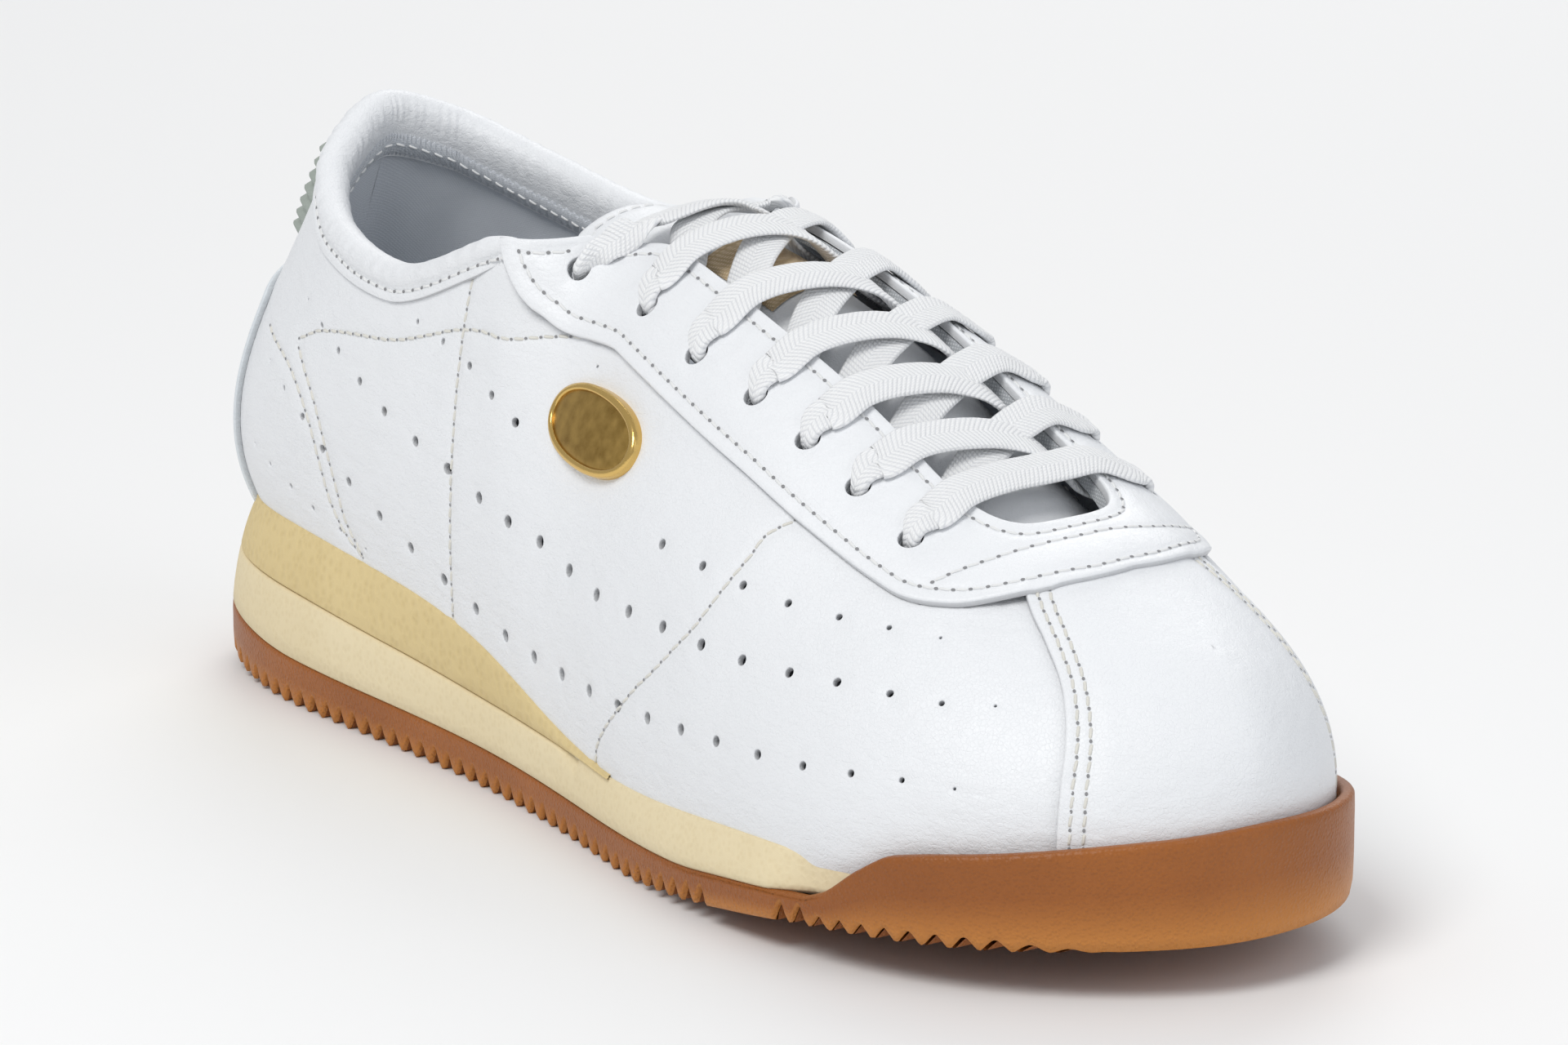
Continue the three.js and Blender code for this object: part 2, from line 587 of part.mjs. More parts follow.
function bentDisc(radiusX, radiusY, centre, inside, outside, around = 24) {
  const disc = new THREE.CylinderGeometry(1, 1, 1, around, 1);
  const position = disc.attributes.position;
  for (let i = 0; i < position.count; i += 1) {
    const p = onBadge(centre - position.getX(i) * radiusX, position.getZ(i) * radiusY,
      position.getY(i) > 0 ? outside : inside);
    position.setXYZ(i, p.x, p.y, p.z);
  }
  return disc;
}

const badgePins = (radius, inside, outside) => [-BADGE.pin, BADGE.pin]
  .map((centre) => bentDisc(radius, radius, centre, inside, outside, 8));
const badge = () => join(bentDisc(BADGE.long, BADGE.high, 0, 0.6, 2.2), ...badgePins(0.7, -2.5, 1));
const badgeWasher = (i) => cut(badgePins(2.6, COUNTER[0] + 0.1, COUNTER[1])[i], [badgePins(1.1, -3, 0)[i]]);

// ---- materials and assembly ----
const finish = (color, roughness, metalness = 0) => (
  new THREE.MeshStandardMaterial({ color, roughness, metalness }));
const WHITE_LEATHER = '#eceef0';
const LINING_GREY = '#c3c8ce';

const model = new THREE.Group();
function add(name, geometry, material) {
  const mesh = new THREE.Mesh(geometry, material);
  mesh.name = name;
  model.add(mesh);
}

add('outsole', outsole(), finish('#a05a2d', 0.55));
add('midsole', midsole(), finish('#e2d6ba', 0.8));
add('heel_wedge', heelWedge(), finish('#d5c59b', 0.85));
add('lasting_board', lastingBoard(), finish('#b8a888', 0.9));
add('sockliner', sockliner(), finish('#c9ced4', 0.9));
add('quarter_lateral', cut(quarter(-1), badgePins(1.1, -3, 2)), finish(WHITE_LEATHER, 0.5));
add('quarter_medial', quarter(1), finish(WHITE_LEATHER, 0.5));
add('toe_cap', toeShell(CAP_SEAM, [LAP, LAP + LEATHER], 9, 6), finish(WHITE_LEATHER, 0.5));
add('vamp_lining', toeShell(LINING_SEAM, LINING, 7, 6), finish(LINING_GREY, 0.95));
add('toe_puff', toeShell(PUFF_SEAM, [-2.2, -0.4], 5, 5), finish('#d8cfb8', 0.8));
add('eyestay', eyestay(), finish(WHITE_LEATHER, 0.45));
add('eyestay_facing', facing(), finish('#d9dcdf', 0.8));
add('backstay', backstay(), finish('#dfe4e8', 0.5));
add('heel_tab', heelTab(), finish('#a5aca5', 0.7));
add('heel_counter', heelCounter(), finish('#cfc6b0', 0.8));
add('collar_roll', collarRoll(), finish(WHITE_LEATHER, 0.5));
add('collar_binding', collarBinding(), finish('#ccd1d6', 0.9));
add('lining_lateral', lining(-1), finish(LINING_GREY, 0.95));
add('lining_medial', lining(1), finish(LINING_GREY, 0.95));
add('tongue_face', tongueLayer(0, 1, 0), finish(WHITE_LEATHER, 0.5));
add('tongue_foam', tongueLayer(1.1 + GAP, 4.6, 1), finish('#efe3d0', 0.9));
add('tongue_lining', tongueLayer(4.6 + GAP, 5.7, 0), finish(LINING_GREY, 0.95));
add('tongue_patch', tonguePatch(), finish('#eadfce', 0.7));
add('lace', lace(), finish('#f4f5f6', 0.9));
add('aglet_lateral', aglet(-1), finish('#f4f5f6', 0.4));
add('aglet_medial', aglet(1), finish('#f4f5f6', 0.4));
add('badge', badge(), finish('#8f7435', 0.3, 1));
add('badge_washer_rear', badgeWasher(0), finish('#b9bcc0', 0.35, 1));
add('badge_washer_front', badgeWasher(1), finish('#b9bcc0', 0.35, 1));

// The origin is the middle of the box's floor.
const box = new THREE.Box3().setFromObject(model);
const centre = box.getCenter(new THREE.Vector3());
model.position.set(-centre.x, -centre.y, -box.min.z);
const shoe = new THREE.Group();
shoe.add(model);
shoe.updateMatrixWorld(true);

export default shoe;
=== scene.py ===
"""Looks of the low-cut court shoe. Lengths are millimetres in the shoe's own frame until a mesh is made:
+X to the toe, +Y to the inner side of the foot, +Z up. A place on the upper is (s, h), as in the CAD
model: s runs round the shoe in 20 stations from the middle of the heel, along the outer side first, and h
from the sole to the collar or ridge."""
import math

import bpy
import numpy as np
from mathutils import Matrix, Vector
from mathutils.geometry import delaunay_2d_cdt
from mathutils.kdtree import KDTree


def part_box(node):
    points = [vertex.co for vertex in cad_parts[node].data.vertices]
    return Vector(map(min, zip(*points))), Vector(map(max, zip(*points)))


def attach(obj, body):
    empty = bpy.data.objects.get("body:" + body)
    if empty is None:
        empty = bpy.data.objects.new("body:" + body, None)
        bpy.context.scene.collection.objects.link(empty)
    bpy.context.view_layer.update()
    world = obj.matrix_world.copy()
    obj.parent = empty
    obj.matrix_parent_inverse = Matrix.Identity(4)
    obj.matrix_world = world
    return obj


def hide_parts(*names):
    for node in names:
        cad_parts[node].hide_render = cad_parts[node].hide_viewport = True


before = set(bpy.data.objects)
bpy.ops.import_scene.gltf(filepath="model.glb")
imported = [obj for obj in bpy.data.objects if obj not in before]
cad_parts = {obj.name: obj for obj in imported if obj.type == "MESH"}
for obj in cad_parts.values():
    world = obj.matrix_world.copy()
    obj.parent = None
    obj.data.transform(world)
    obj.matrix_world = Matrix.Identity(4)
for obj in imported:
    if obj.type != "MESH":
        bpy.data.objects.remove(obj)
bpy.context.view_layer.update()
rng = np.random.default_rng(7)

STATIONS = 20
ROUND = 0.45                 # radius of a cut leather edge
LEATHER = 1.25
STAY_OUT = 1.55              # outer face of the eyestay over the quarters
CAP_OUT = 1.45
LACE_WIDTH = 7.4
LACE_THICK = 1.25
TOOTH_PITCH = 4.2
TOOTH_DEPTH = 3.1
SMOOTH_STRETCH = (54, 72)    # the tread has no teeth between these places
STITCH_PITCH = 2.75
UNDER_EDGE = -0.012          # h of the panels' lower edge, folded in under the sole's edge
CAP_START = 8.43             # station where the toe cap meets the sole
QUARTER_END = 8.58           # station where the quarters end under the toe cap
LINING_OUT = -3.3
SOCK_REST = 2.7              # sockliner's underside above the feather edge
FOAM_LEAN = 0.30             # how far the foam's face leans in towards the feather edge
TONGUE_BACK = 38.5
TONGUE_LONG = 116.5

OUTLINE = [
    (-132, 0), (-125, -20.5), (-99, -31.5), (-60, -32.7), (-25, -34), (10, -39.5), (45, -46), (80, -45.5),
    (109, -34.5), (127, -14), (132, 4), (127, 23), (109, 38.5), (80, 45), (45, 43.5), (10, 35), (-25, 29),
    (-60, 28.3), (-99, 29), (-125, 20)]
FEATHER = [
    (-126, 0, 30), (-119, -19, 30), (-95, -27, 30), (-60, -29.5, 26.5), (-25, -32.5, 19), (10, -38.5, 15),
    (45, -43.6, 14.5), (79.5, -42.3, 15), (106, -30.6, 17), (122.5, -12, 19), (126.9, 4, 19.5),
    (122.5, 20.4, 19), (106, 34.6, 17), (79.5, 41.8, 15), (45, 41, 14.5), (10, 34, 15), (-25, 26.5, 19),
    (-60, 25.5, 26.5), (-95, 25, 30), (-119, 17, 30)]
SWELL = [
    (11, 20), (10, 20), (6, 20), (3, 20), (2, 22), (3, 24), (4.5, 22), (5.5, 20), (5, 16), (3.5, 13),
    (2.5, 12), (3.5, 14), (5, 18), (5.5, 22), (4.5, 26), (3, 26), (2, 24), (3, 20), (6, 20), (10, 20)]
CREST = [
    (-110, 1, 98), (-105, -13, 91.5), (-88, -23, 82), (-64, -27, 79.5), (-33, -25, 90.5), (-10, 5.5, 96.5),
    (28, 6.5, 86), (62, 8, 69.5), (90, 8.5, 57.5), (107, 8.5, 51), (112, 8, 49), (107, 8.5, 51),
    (90, 8.5, 57.5), (62, 8, 69.5), (28, 6.5, 86), (-10, 5.5, 96.5), (-33, 31, 89.5), (-64, 29.5, 82.5),
    (-88, 24, 87.5), (-105, 14, 94.5)]
SHOULDER = [
    (-6, 0, -22), (-5, -4, -20), (-3, -6, -18), (0, -5, -17), (2, -7, -22), (0, -28, -1), (0, -30, 0),
    (0, -29, 0), (3, -25, -1), (8, -15, -3), (15, 0, -5), (7, 15, -3), (3, 25, 0), (0, 30, 1), (0, 30, 0.5),
    (0, 28, 0), (2, 6, -22), (0, 4, -18), (-3, 5, -20), (-5, 4, -20)]
TREAD_Z = [(-134, 4.8), (-112, 1.2), (-90, 0), (22, 0), (42, 1.6), (60, 4), (80, 6.2), (105, 7.6),
           (134, 8.6)]
GUM_TOP_Z = [(-134, 12), (-90, 8.4), (-25, 7), (10, 6.6), (42, 7.6), (60, 9.4), (80, 11), (108, 12.6),
             (134, 14)]
FOAM_TOP_Z = [(-134, 21), (-95, 20), (-60, 17.6), (-25, 15.4), (10, 14.6), (45, 14.1), (80, 14.6),
              (108, 16.6), (134, 19)]
BUMPER_TOP = [(6.85, 10.2), (7.05, 12), (7.3, 17.5), (7.5, 20.8), (8, 23), (9, 25.8), (10, 26.8),
              (11, 25.8), (12, 23), (12.5, 20.8), (12.7, 17.5), (12.95, 12), (13.15, 10.2)]
EYELETS = [(4.46, 0.14), (5.07, 0.28), (5.51, 0.30), (5.92, 0.29), (6.30, 0.29), (6.66, 0.29), (7.06, 0.30)]
THROAT = {-1: 0.17, 1: 0.14}


# ---- curves ----
def periodic_spline(points):
    """Smooth closed curve through the stations, curvature continuous."""
    p = np.array([tuple(q) + (0,) * (3 - len(q)) for q in points], float)
    n = len(p)
    system = 4 * np.eye(n) + np.roll(np.eye(n), 1, 0) + np.roll(np.eye(n), -1, 0)
    slope = np.linalg.solve(system, 3 * (np.roll(p, -1, 0) - np.roll(p, 1, 0)))
    return lambda s: hermite_ring(p, slope, s)


def calm_slope(before, after):
    total = before + after
    safe = np.where(np.abs(total) < 1e-12, 1, total)
    return np.where(before * after > 0, 2 * before * after / safe, 0)


def calm_ring(points):
    p = np.array(points, float)
    slope = calm_slope(p - np.roll(p, 1, 0), np.roll(p, -1, 0) - p)
    return lambda s: hermite_ring(p, slope, s)


def hermite(p, q, m, n, u):
    v = 1 - u
    return p * (1 + 2 * u) * v * v + q * (3 - 2 * u) * u * u + m * u * v * v - n * u * u * v


def hermite_ring(p, slope, s):
    s = np.asarray(s, float) % STATIONS
    i = np.floor(s).astype(int) % STATIONS
    u = (s - np.floor(s))[..., None]
    j = (i + 1) % STATIONS
    return hermite(p[i], p[j], slope[i], slope[j], u)


def profile(pairs):
    """Value read from a short list of (place, value), without overshoot."""
    x, y = np.array(pairs, float).T
    run = np.diff(x)
    rise = np.diff(y) / run
    slope = np.zeros(len(x))
    slope[1:-1] = calm_slope(rise[:-1], rise[1:])

    def at(q):
        q = np.asarray(q, float)
        i = np.clip(np.searchsorted(x, q, side="right") - 1, 0, len(x) - 2)
        u = np.clip((q - x[i]) / run[i], 0, 1)
        return hermite(y[i], y[i + 1], slope[i] * run[i], slope[i + 1] * run[i], u)
    return at


def unit(v):
    return v / np.maximum(np.linalg.norm(v, axis=-1, keepdims=True), 1e-12)


def walked(points):
    """Distance along a polyline to each of its points."""
    return np.concatenate([[0], np.cumsum(np.linalg.norm(np.diff(points, axis=0), axis=1))])


def read_off(at, lengths, points):
    """Points of a polyline at the given distances along it."""
    return np.stack([np.interp(at, lengths, points[:, c]) for c in range(points.shape[1])], 1)


def tree_of(points):
    tree = KDTree(len(points))
    for i, p in enumerate(points):
        tree.insert(p, i)
    tree.balance()
    return tree


def outward(ring, s):
    d = ring(np.asarray(s) + 0.01) - ring(np.asarray(s) - 0.01)
    return unit(np.stack([d[..., 1], -d[..., 0], 0 * d[..., 0]], -1))


outline = periodic_spline(OUTLINE)
feather = periodic_spline(FEATHER)
crest = calm_ring(CREST)
shoulder = calm_ring(np.array(CREST, float) + np.array(SHOULDER, float))
_ids = np.arange(STATIONS)
_swell = np.array(SWELL, float)
_swell_points = np.array(FEATHER, float) + outward(feather, _ids) * _swell[:, :1]
_swell_points[:, 2] += _swell[:, 1]
swell = periodic_spline(_swell_points)
tread_z = profile(TREAD_Z)
gum_top_z = profile(GUM_TOP_Z)
foam_top_z = profile(FOAM_TOP_Z)
bumper_top = profile(BUMPER_TOP)
feather_z = profile([(x, z) for x, _, z in FEATHER[:11]])


def last(s, h):
    s, h = np.broadcast_arrays(np.asarray(s, float), np.asarray(h, float))
    g = (1 - h)[..., None]
    h = h[..., None]
    return g ** 3 * feather(s) + 3 * g * g * h * swell(s) + 3 * g * h * h * shoulder(s) + h ** 3 * crest(s)


def normal(s, h):
    s, h = np.broadcast_arrays(np.asarray(s, float), np.asarray(h, float))
    e = 0.004
    hh = np.clip(h, -0.2, 1 - e)
    return unit(np.cross(last(s + e, hh) - last(s - e, hh), last(s, hh + e) - last(s, hh - e)))


def skin(s, h, out=0.0):
    return last(s, h) + normal(s, h) * np.asarray(out)[..., None]


def unfold(a, b):
    """(station, distance across the ridge) to (s, h)."""
    a, b = np.broadcast_arrays(np.asarray(a, float), np.asarray(b, float))
    raised = 0.036 * np.clip((4.75 - a) / 0.35, 0, 1) * np.clip(1 - np.abs(b) / 0.18, 0, 1)
    return np.where(b <= 0, a, STATIONS - a), 1 - np.abs(b) + raised


_design_low = outline(np.linspace(0, 20, 2001)).min(0)
_design_high = outline(np.linspace(0, 20, 2001)).max(0)
_sole = np.array([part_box("outsole")[0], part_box("outsole")[1]]) * 1000
SHIFT = (_sole.mean(0) - (_design_low + _design_high) / 2) * (1, 1, 0)


# ---- meshes ----
SLOTS = {
    "quarter_lateral": "white_leather", "quarter_medial": "white_leather", "toe_cap": "white_leather",
    "eyestay": "eyestay_leather", "facing": "facing_fabric", "backstay": "backstay_leather",
    "collar_binding": "binding_fabric", "lining_lateral": "lining_fabric", "lining_medial": "lining_fabric",
    "vamp_lining": "lining_fabric", "tongue_foam": "tongue_foam", "tongue_lining": "lining_fabric",
    "tongue_patch": "label_fabric", "lace": "lace_cotton", "aglet_lateral": "aglet_plastic",
    "aglet_medial": "aglet_plastic", "heel_tab": "heel_tab_rubber",
}


def make(name, verts, faces, material, body="shoe", smooth=True, slot=None, layers=None, uv=None):
    """A mesh object from points in millimetres. layers holds one number per point under each name."""
    slot = slot or SLOTS.get(name)
    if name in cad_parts:
        name = name + "_surface"
    mesh = bpy.data.meshes.new(name)
    mesh.from_pydata(((np.asarray(verts) + SHIFT) / 1000).tolist(), [], [list(f) for f in faces])
    mesh.validate()
    if smooth:
        mesh.shade_smooth()
    for key, values in (layers or {}).items():
        mesh.attributes.new(key, "FLOAT", "POINT").data.foreach_set("value", np.asarray(values, np.float32))
    if uv is not None:
        corner = np.zeros(len(mesh.loops), np.int32)
        mesh.loops.foreach_get("vertex_index", corner)
        mesh.uv_layers.new(name="along").data.foreach_set("uv", np.asarray(uv, np.float32)[corner].ravel())
    mesh.materials.append(material)
    obj = bpy.data.objects.new(name, mesh)
    bpy.context.collection.objects.link(obj)
    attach(obj, body)
    return obj


def grid_faces(nu, nv, close_u=False, close_v=False, flip=False):
    """Quads over a grid of nu by nv points, u slowest."""
    i, j = np.meshgrid(np.arange(nu if close_u else nu - 1), np.arange(nv if close_v else nv - 1),
                       indexing="ij")
    i, j = i.ravel(), j.ravel()
    k, m = (i + 1) % nu, (j + 1) % nv
    quads = np.stack([i * nv + j, k * nv + j, k * nv + m, i * nv + m], 1)
    return (quads[:, ::-1] if flip else quads).tolist()


def grid(name, points, material, close_u=False, close_v=False, flip=False, **rest):
    nu, nv = points.shape[:2]
    return make(name, points.reshape(-1, 3), grid_faces(nu, nv, close_u, close_v, flip), material, **rest)


def resample(points, step):
    """Points of an open polyline at even steps."""
    points = np.asarray(points, float)
    lengths = walked(points)
    count = max(2, int(round(lengths[-1] / step)) + 1)
    return read_off(np.linspace(0, lengths[-1], count), lengths, points)


def smooth_line(points):
    """Smooth open curve through 2-D points, eight steps to each span."""
    p = np.asarray(points, float)
    p = np.vstack([2 * p[0] - p[1], p, 2 * p[-1] - p[-2]])
    rows = []
    t = np.linspace(0, 1, 9)[:-1, None]
    for i in range(1, len(p) - 2):
        m, n = (p[i + 1] - p[i - 1]) / 2, (p[i + 2] - p[i]) / 2
        rows.append(hermite(p[i], p[i + 1], m, n, t))
    rows.append(p[-2][None])
    return np.vstack(rows)


def in_polygon(points, polygon):
    x, y = points[:, :1], points[:, 1:]
    ax, ay = polygon[:, 0], polygon[:, 1]
    bx, by = np.roll(ax, -1), np.roll(ay, -1)
    crosses = (ay > y) != (by > y)
    with np.errstate(divide="ignore", invalid="ignore"):
        hit = x < (bx - ax) * (y - ay) / (by - ay) + ax
    return (crosses & hit).sum(1) % 2 == 1


class Side:
    """Chart of the upper in (s, h), scaled to about millimetres."""
    scale = np.array([29.0, 88.0])

    def __init__(self, folded=False):
        self.folded = folded

    def flat(self, places):
        return np.asarray(places, float) * self.scale

    def sh(self, flat):
        places = np.asarray(flat) / self.scale
        return unfold(places[..., 0], places[..., 1]) if self.folded else (places[..., 0], places[..., 1])

    def point(self, flat, out=0.0):
        s, h = self.sh(flat)
        return skin(s, h, np.broadcast_to(out, np.shape(s)))

    def normal(self, flat):
        return normal(*self.sh(flat))

    def ring(self, place, radius, count=18):
        """Circle on the surface round a place, in flat coordinates."""
        centre = self.flat(place)
        e = 0.3
        base = self.point(centre)
        du = (self.point(centre + (e, 0)) - base) / e
        dv = (self.point(centre + (0, e)) - base) / e
        x = du / np.linalg.norm(du)
        y = np.cross(self.normal(centre), x)
        jacobian = np.array([[du @ x, dv @ x], [du @ y, dv @ y]])
        turn = np.linspace(0, 2 * np.pi, count, endpoint=False)
        circle = np.stack([np.cos(turn), np.sin(turn)]) * radius
        return centre + np.linalg.solve(jacobian, circle).T


SIDE = Side()
TOP = Side(folded=True)


def triangulate(border, holes, extra, spacing):
    """Triangles that fill a flat outline, with holes, on an even grid plus extra points."""
    low, high = border.min(0), border.max(0)
    gx, gy = np.meshgrid(np.arange(low[0], high[0], spacing), np.arange(low[1], high[1], spacing * 0.87))
    gx = gx + (np.arange(gx.shape[0]) % 2)[:, None] * spacing / 2
    seeds = np.stack([gx.ravel(), gy.ravel()], 1)
    loops = [border] + holes
    fixed = np.vstack(loops)
    taken = np.vstack([fixed, extra]) if len(extra) else fixed
    seeds = thin(seeds, taken, spacing * 0.62)
    if len(extra):
        extra = thin(extra, fixed, 0.45)
        seeds = np.vstack([extra, seeds])
    seeds = seeds[in_polygon(seeds, border)]
    for hole in holes:
        near = np.abs(seeds - hole.mean(0)).max(1) < 12
        inside = np.zeros(len(seeds), bool)
        if near.any():
            inside[near] = in_polygon(seeds[near], hole)
        seeds = seeds[~inside]
    edges, start = [], 0
    for loop in loops:
        n = len(loop)
        edges += [(start + i, start + (i + 1) % n) for i in range(n)]
        start += n
    points = np.vstack([fixed, seeds])
    verts, _, faces = delaunay_2d_cdt([Vector(p) for p in points], edges, [], 0, 1e-5, False)[:3]
    verts = np.array([tuple(v) for v in verts])
    faces = np.array([f for f in faces if len(f) == 3])
    middle = verts[faces].mean(1)
    keep = in_polygon(middle, border)
    for hole in holes:
        near = np.where(keep & (np.abs(middle - hole.mean(0)).max(1) < 12))[0]
        if len(near):
            keep[near[in_polygon(middle[near], hole)]] = False
    return verts, faces[keep]


def thin(points, taken, distance):
    """The points that stand clear of those already taken."""
    tree = tree_of([(x, y, 0) for x, y in taken])
    return np.array([p for p in points if tree.find((p[0], p[1], 0))[2] > distance]).reshape(-1, 2)


def boundary_loops(faces):
    """Ordered border loops of a triangle mesh, with the surface on the left."""
    count = {}
    for a, b, c in faces:
        for e in ((a, b), (b, c), (c, a)):
            count[e] = 1
    after = {a: b for (a, b) in count if (b, a) not in count}
    loops = []
    while after:
        start = next(iter(after))
        loop = [start]
        nxt = after.pop(start)
        while nxt != start and nxt in after:
            loop.append(nxt)
            nxt = after.pop(nxt)
        loops.append(loop)
    return loops


SEAMS = []                   # every stitch line on the upper, as points in space
PANEL_NODES = {"facing": "eyestay_facing"}


def groove(points):
    """How far the leather is pulled in near the stitch lines, with a low swell beside them."""
    tree = tree_of(np.vstack(SEAMS))
    d = np.array([tree.find(p)[2] for p in points])
    return 0.32 * np.exp(-d ** 2) - 0.10 * np.exp(-((d - 2.6) / 1.3) ** 2)


def panel(name, chart, border, material, out, thick, holes=(), seam_extra=(), spacing=2.3, step=1.1,
          round_edge=ROUND, press=True, shape=None, even=True, **rest):
    """Leather panel with a rounded cut edge. border is a closed outline of chart places, and shape
    gives the panel's extra height at flat points."""
    flat_border = np.asarray(border) * chart.scale
    if even:
        flat_border = resample(np.vstack([flat_border, flat_border[:1]]), step)[:-1]
    verts, faces = triangulate(flat_border, list(holes), np.array(seam_extra).reshape(-1, 2), spacing)
    edge = verts[faces]
    area = np.cross(edge[:, 1] - edge[:, 0], edge[:, 2] - edge[:, 0])
    faces = np.where(area[:, None] < 0, faces[:, ::-1], faces)
    base = chart.point(verts, 0.0)
    _, first, same = np.unique(np.round(base, 3), axis=0, return_index=True, return_inverse=True)
    same = same.ravel()
    n = np.zeros((len(first), 3))
    np.add.at(n, same, chart.normal(verts))
    verts, base, faces, n = verts[first], base[first], same[faces], unit(n)
    faces = faces[(faces[:, 0] != faces[:, 1]) & (faces[:, 1] != faces[:, 2]) & (faces[:, 2] != faces[:, 0])]
    tri = base[faces]
    facing = np.cross(tri[:, 1] - tri[:, 0], tri[:, 2] - tri[:, 0])
    if (facing * n[faces[:, 0]]).sum() < 0:
        faces = faces[:, ::-1]
    height = np.full(len(verts), float(out))
    if shape is not None:
        height = height + shape(verts)
    if press and SEAMS:
        height = height - groove(base)
    top = base + n * height[:, None]
    points = [top]
    quads = faces.tolist()
    rim = [np.zeros(len(top))]
    total = len(top)
    turn = np.radians([35, 65, 90])
    for loop in boundary_loops(faces):
        loop = np.array(loop)
        p, m = top[loop], n[loop]
        along = unit(np.roll(p, -1, 0) - np.roll(p, 1, 0))
        side = unit(np.cross(along, m))
        small = np.linalg.norm(p - p.mean(0), axis=1).max() < 4
        r = min(round_edge, 0.25) if small else round_edge
        rows = [p + side * r * math.sin(t) - m * r * (1 - math.cos(t)) for t in turn]
        rows.append(p + side * r - m * thick)
        count = len(loop)
        before = loop
        for k, row in enumerate(rows):
            now = np.arange(total, total + count)
            points.append(row)
            rim.append(np.full(count, (k + 1) / len(rows)))
            total += count
            for i in range(count):
                j = (i + 1) % count
                quads.append([before[i], now[i], now[j], before[j]])
            before = now
    obj = make(name, np.vstack(points), quads, material, layers={"rim": np.concatenate(rim)}, **rest)
    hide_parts(PANEL_NODES.get(name, name))
    return obj


# ---- stitches ----
def surface_line(chart, places, out, step=0.7, smooth=True):
    """Line on the upper through chart places: its points, the normals there and its flat places."""
    flat = np.asarray(places, float) * chart.scale
    if smooth:
        flat = smooth_line(flat)
    lengths = walked(chart.point(flat))
    at = np.linspace(0, lengths[-1], max(2, int(lengths[-1] / step)))
    flat = read_off(at, lengths, flat)
    return chart.point(flat, out), chart.normal(flat), flat


def thread(name, lines, material, pitch=STITCH_PITCH, length=2.2, radius=0.27, body="shoe"):
    """One mesh of stitches along lines given as (points, normals)."""
    rings, sides = 7, 6
    turn = np.linspace(0, 2 * np.pi, sides, endpoint=False)
    t = np.linspace(-1, 1, rings)
    verts, faces, total = [], [], 0
    for points, normals in lines:
        lengths = walked(points)
        count = int(lengths[-1] / pitch)
        if count < 1:
            continue
        real = lengths[-1] / count
        centres = (np.arange(count) + 0.5) * real
        for c in centres:
            at = c + t * length / 2 * real / pitch
            p = read_off(at, lengths, points)
            n = unit(read_off(at, lengths, normals))
            along = unit(np.gradient(p, axis=0))
            across = unit(np.cross(along, n))
            arch = np.sqrt(np.clip(1 - t ** 4, 0, 1))
            lift = radius * (1.5 * arch - 1.15) + rng.normal(0, 0.02)
            slant = 0.13 * t + rng.normal(0, 0.03)
            centre = p + n * lift[:, None] + across * slant[:, None]
            r = radius * (0.72 + 0.28 * arch)
            r[0] *= 0.5
            r[-1] *= 0.5
            ring = (centre[:, None] + across[:, None] * (np.cos(turn)[:, None] * r[:, None, None])
                    + n[:, None] * (np.sin(turn)[:, None] * r[:, None, None] * 0.85))
            verts.append(ring.reshape(-1, 3))
            faces += [[total + v for v in f] for f in grid_faces(rings, sides, close_v=True)]
            total += rings * sides
    return make(name, np.vstack(verts), faces, material, body=body)


def needle_shade_discs(name, lines, lift=0.16, radius=0.37):
    """Small dark discs between the stitches, painted shade for the holes where the needle went through."""
    pitch, sides = STITCH_PITCH, 10
    turn = np.linspace(0, 2 * np.pi, sides, endpoint=False)
    verts, faces, total = [], [], 0
    for points, normals in lines:
        lengths = walked(points)
        count = int(lengths[-1] / pitch)
        if count < 1:
            continue
        at = np.arange(count + 1) * lengths[-1] / count
        p = read_off(at, lengths, points)
        n = unit(read_off(at, lengths, normals))
        e = 0.2
        along = unit(read_off(at + e, lengths, points) - read_off(at - e, lengths, points))
        across = np.cross(along, n)
        for c, m, a, b in zip(p, n, along, across):
            ring = c + m * lift + radius * (np.cos(turn)[:, None] * a + 0.8 * np.sin(turn)[:, None] * b)
            verts.append(np.vstack([ring, c + m * (lift + 0.05)]))
            faces += [[total + i, total + (i + 1) % sides, total + sides] for i in range(sides)]
            total += sides + 1
    return make(name, np.vstack(verts), faces, NEEDLE_SHADE)


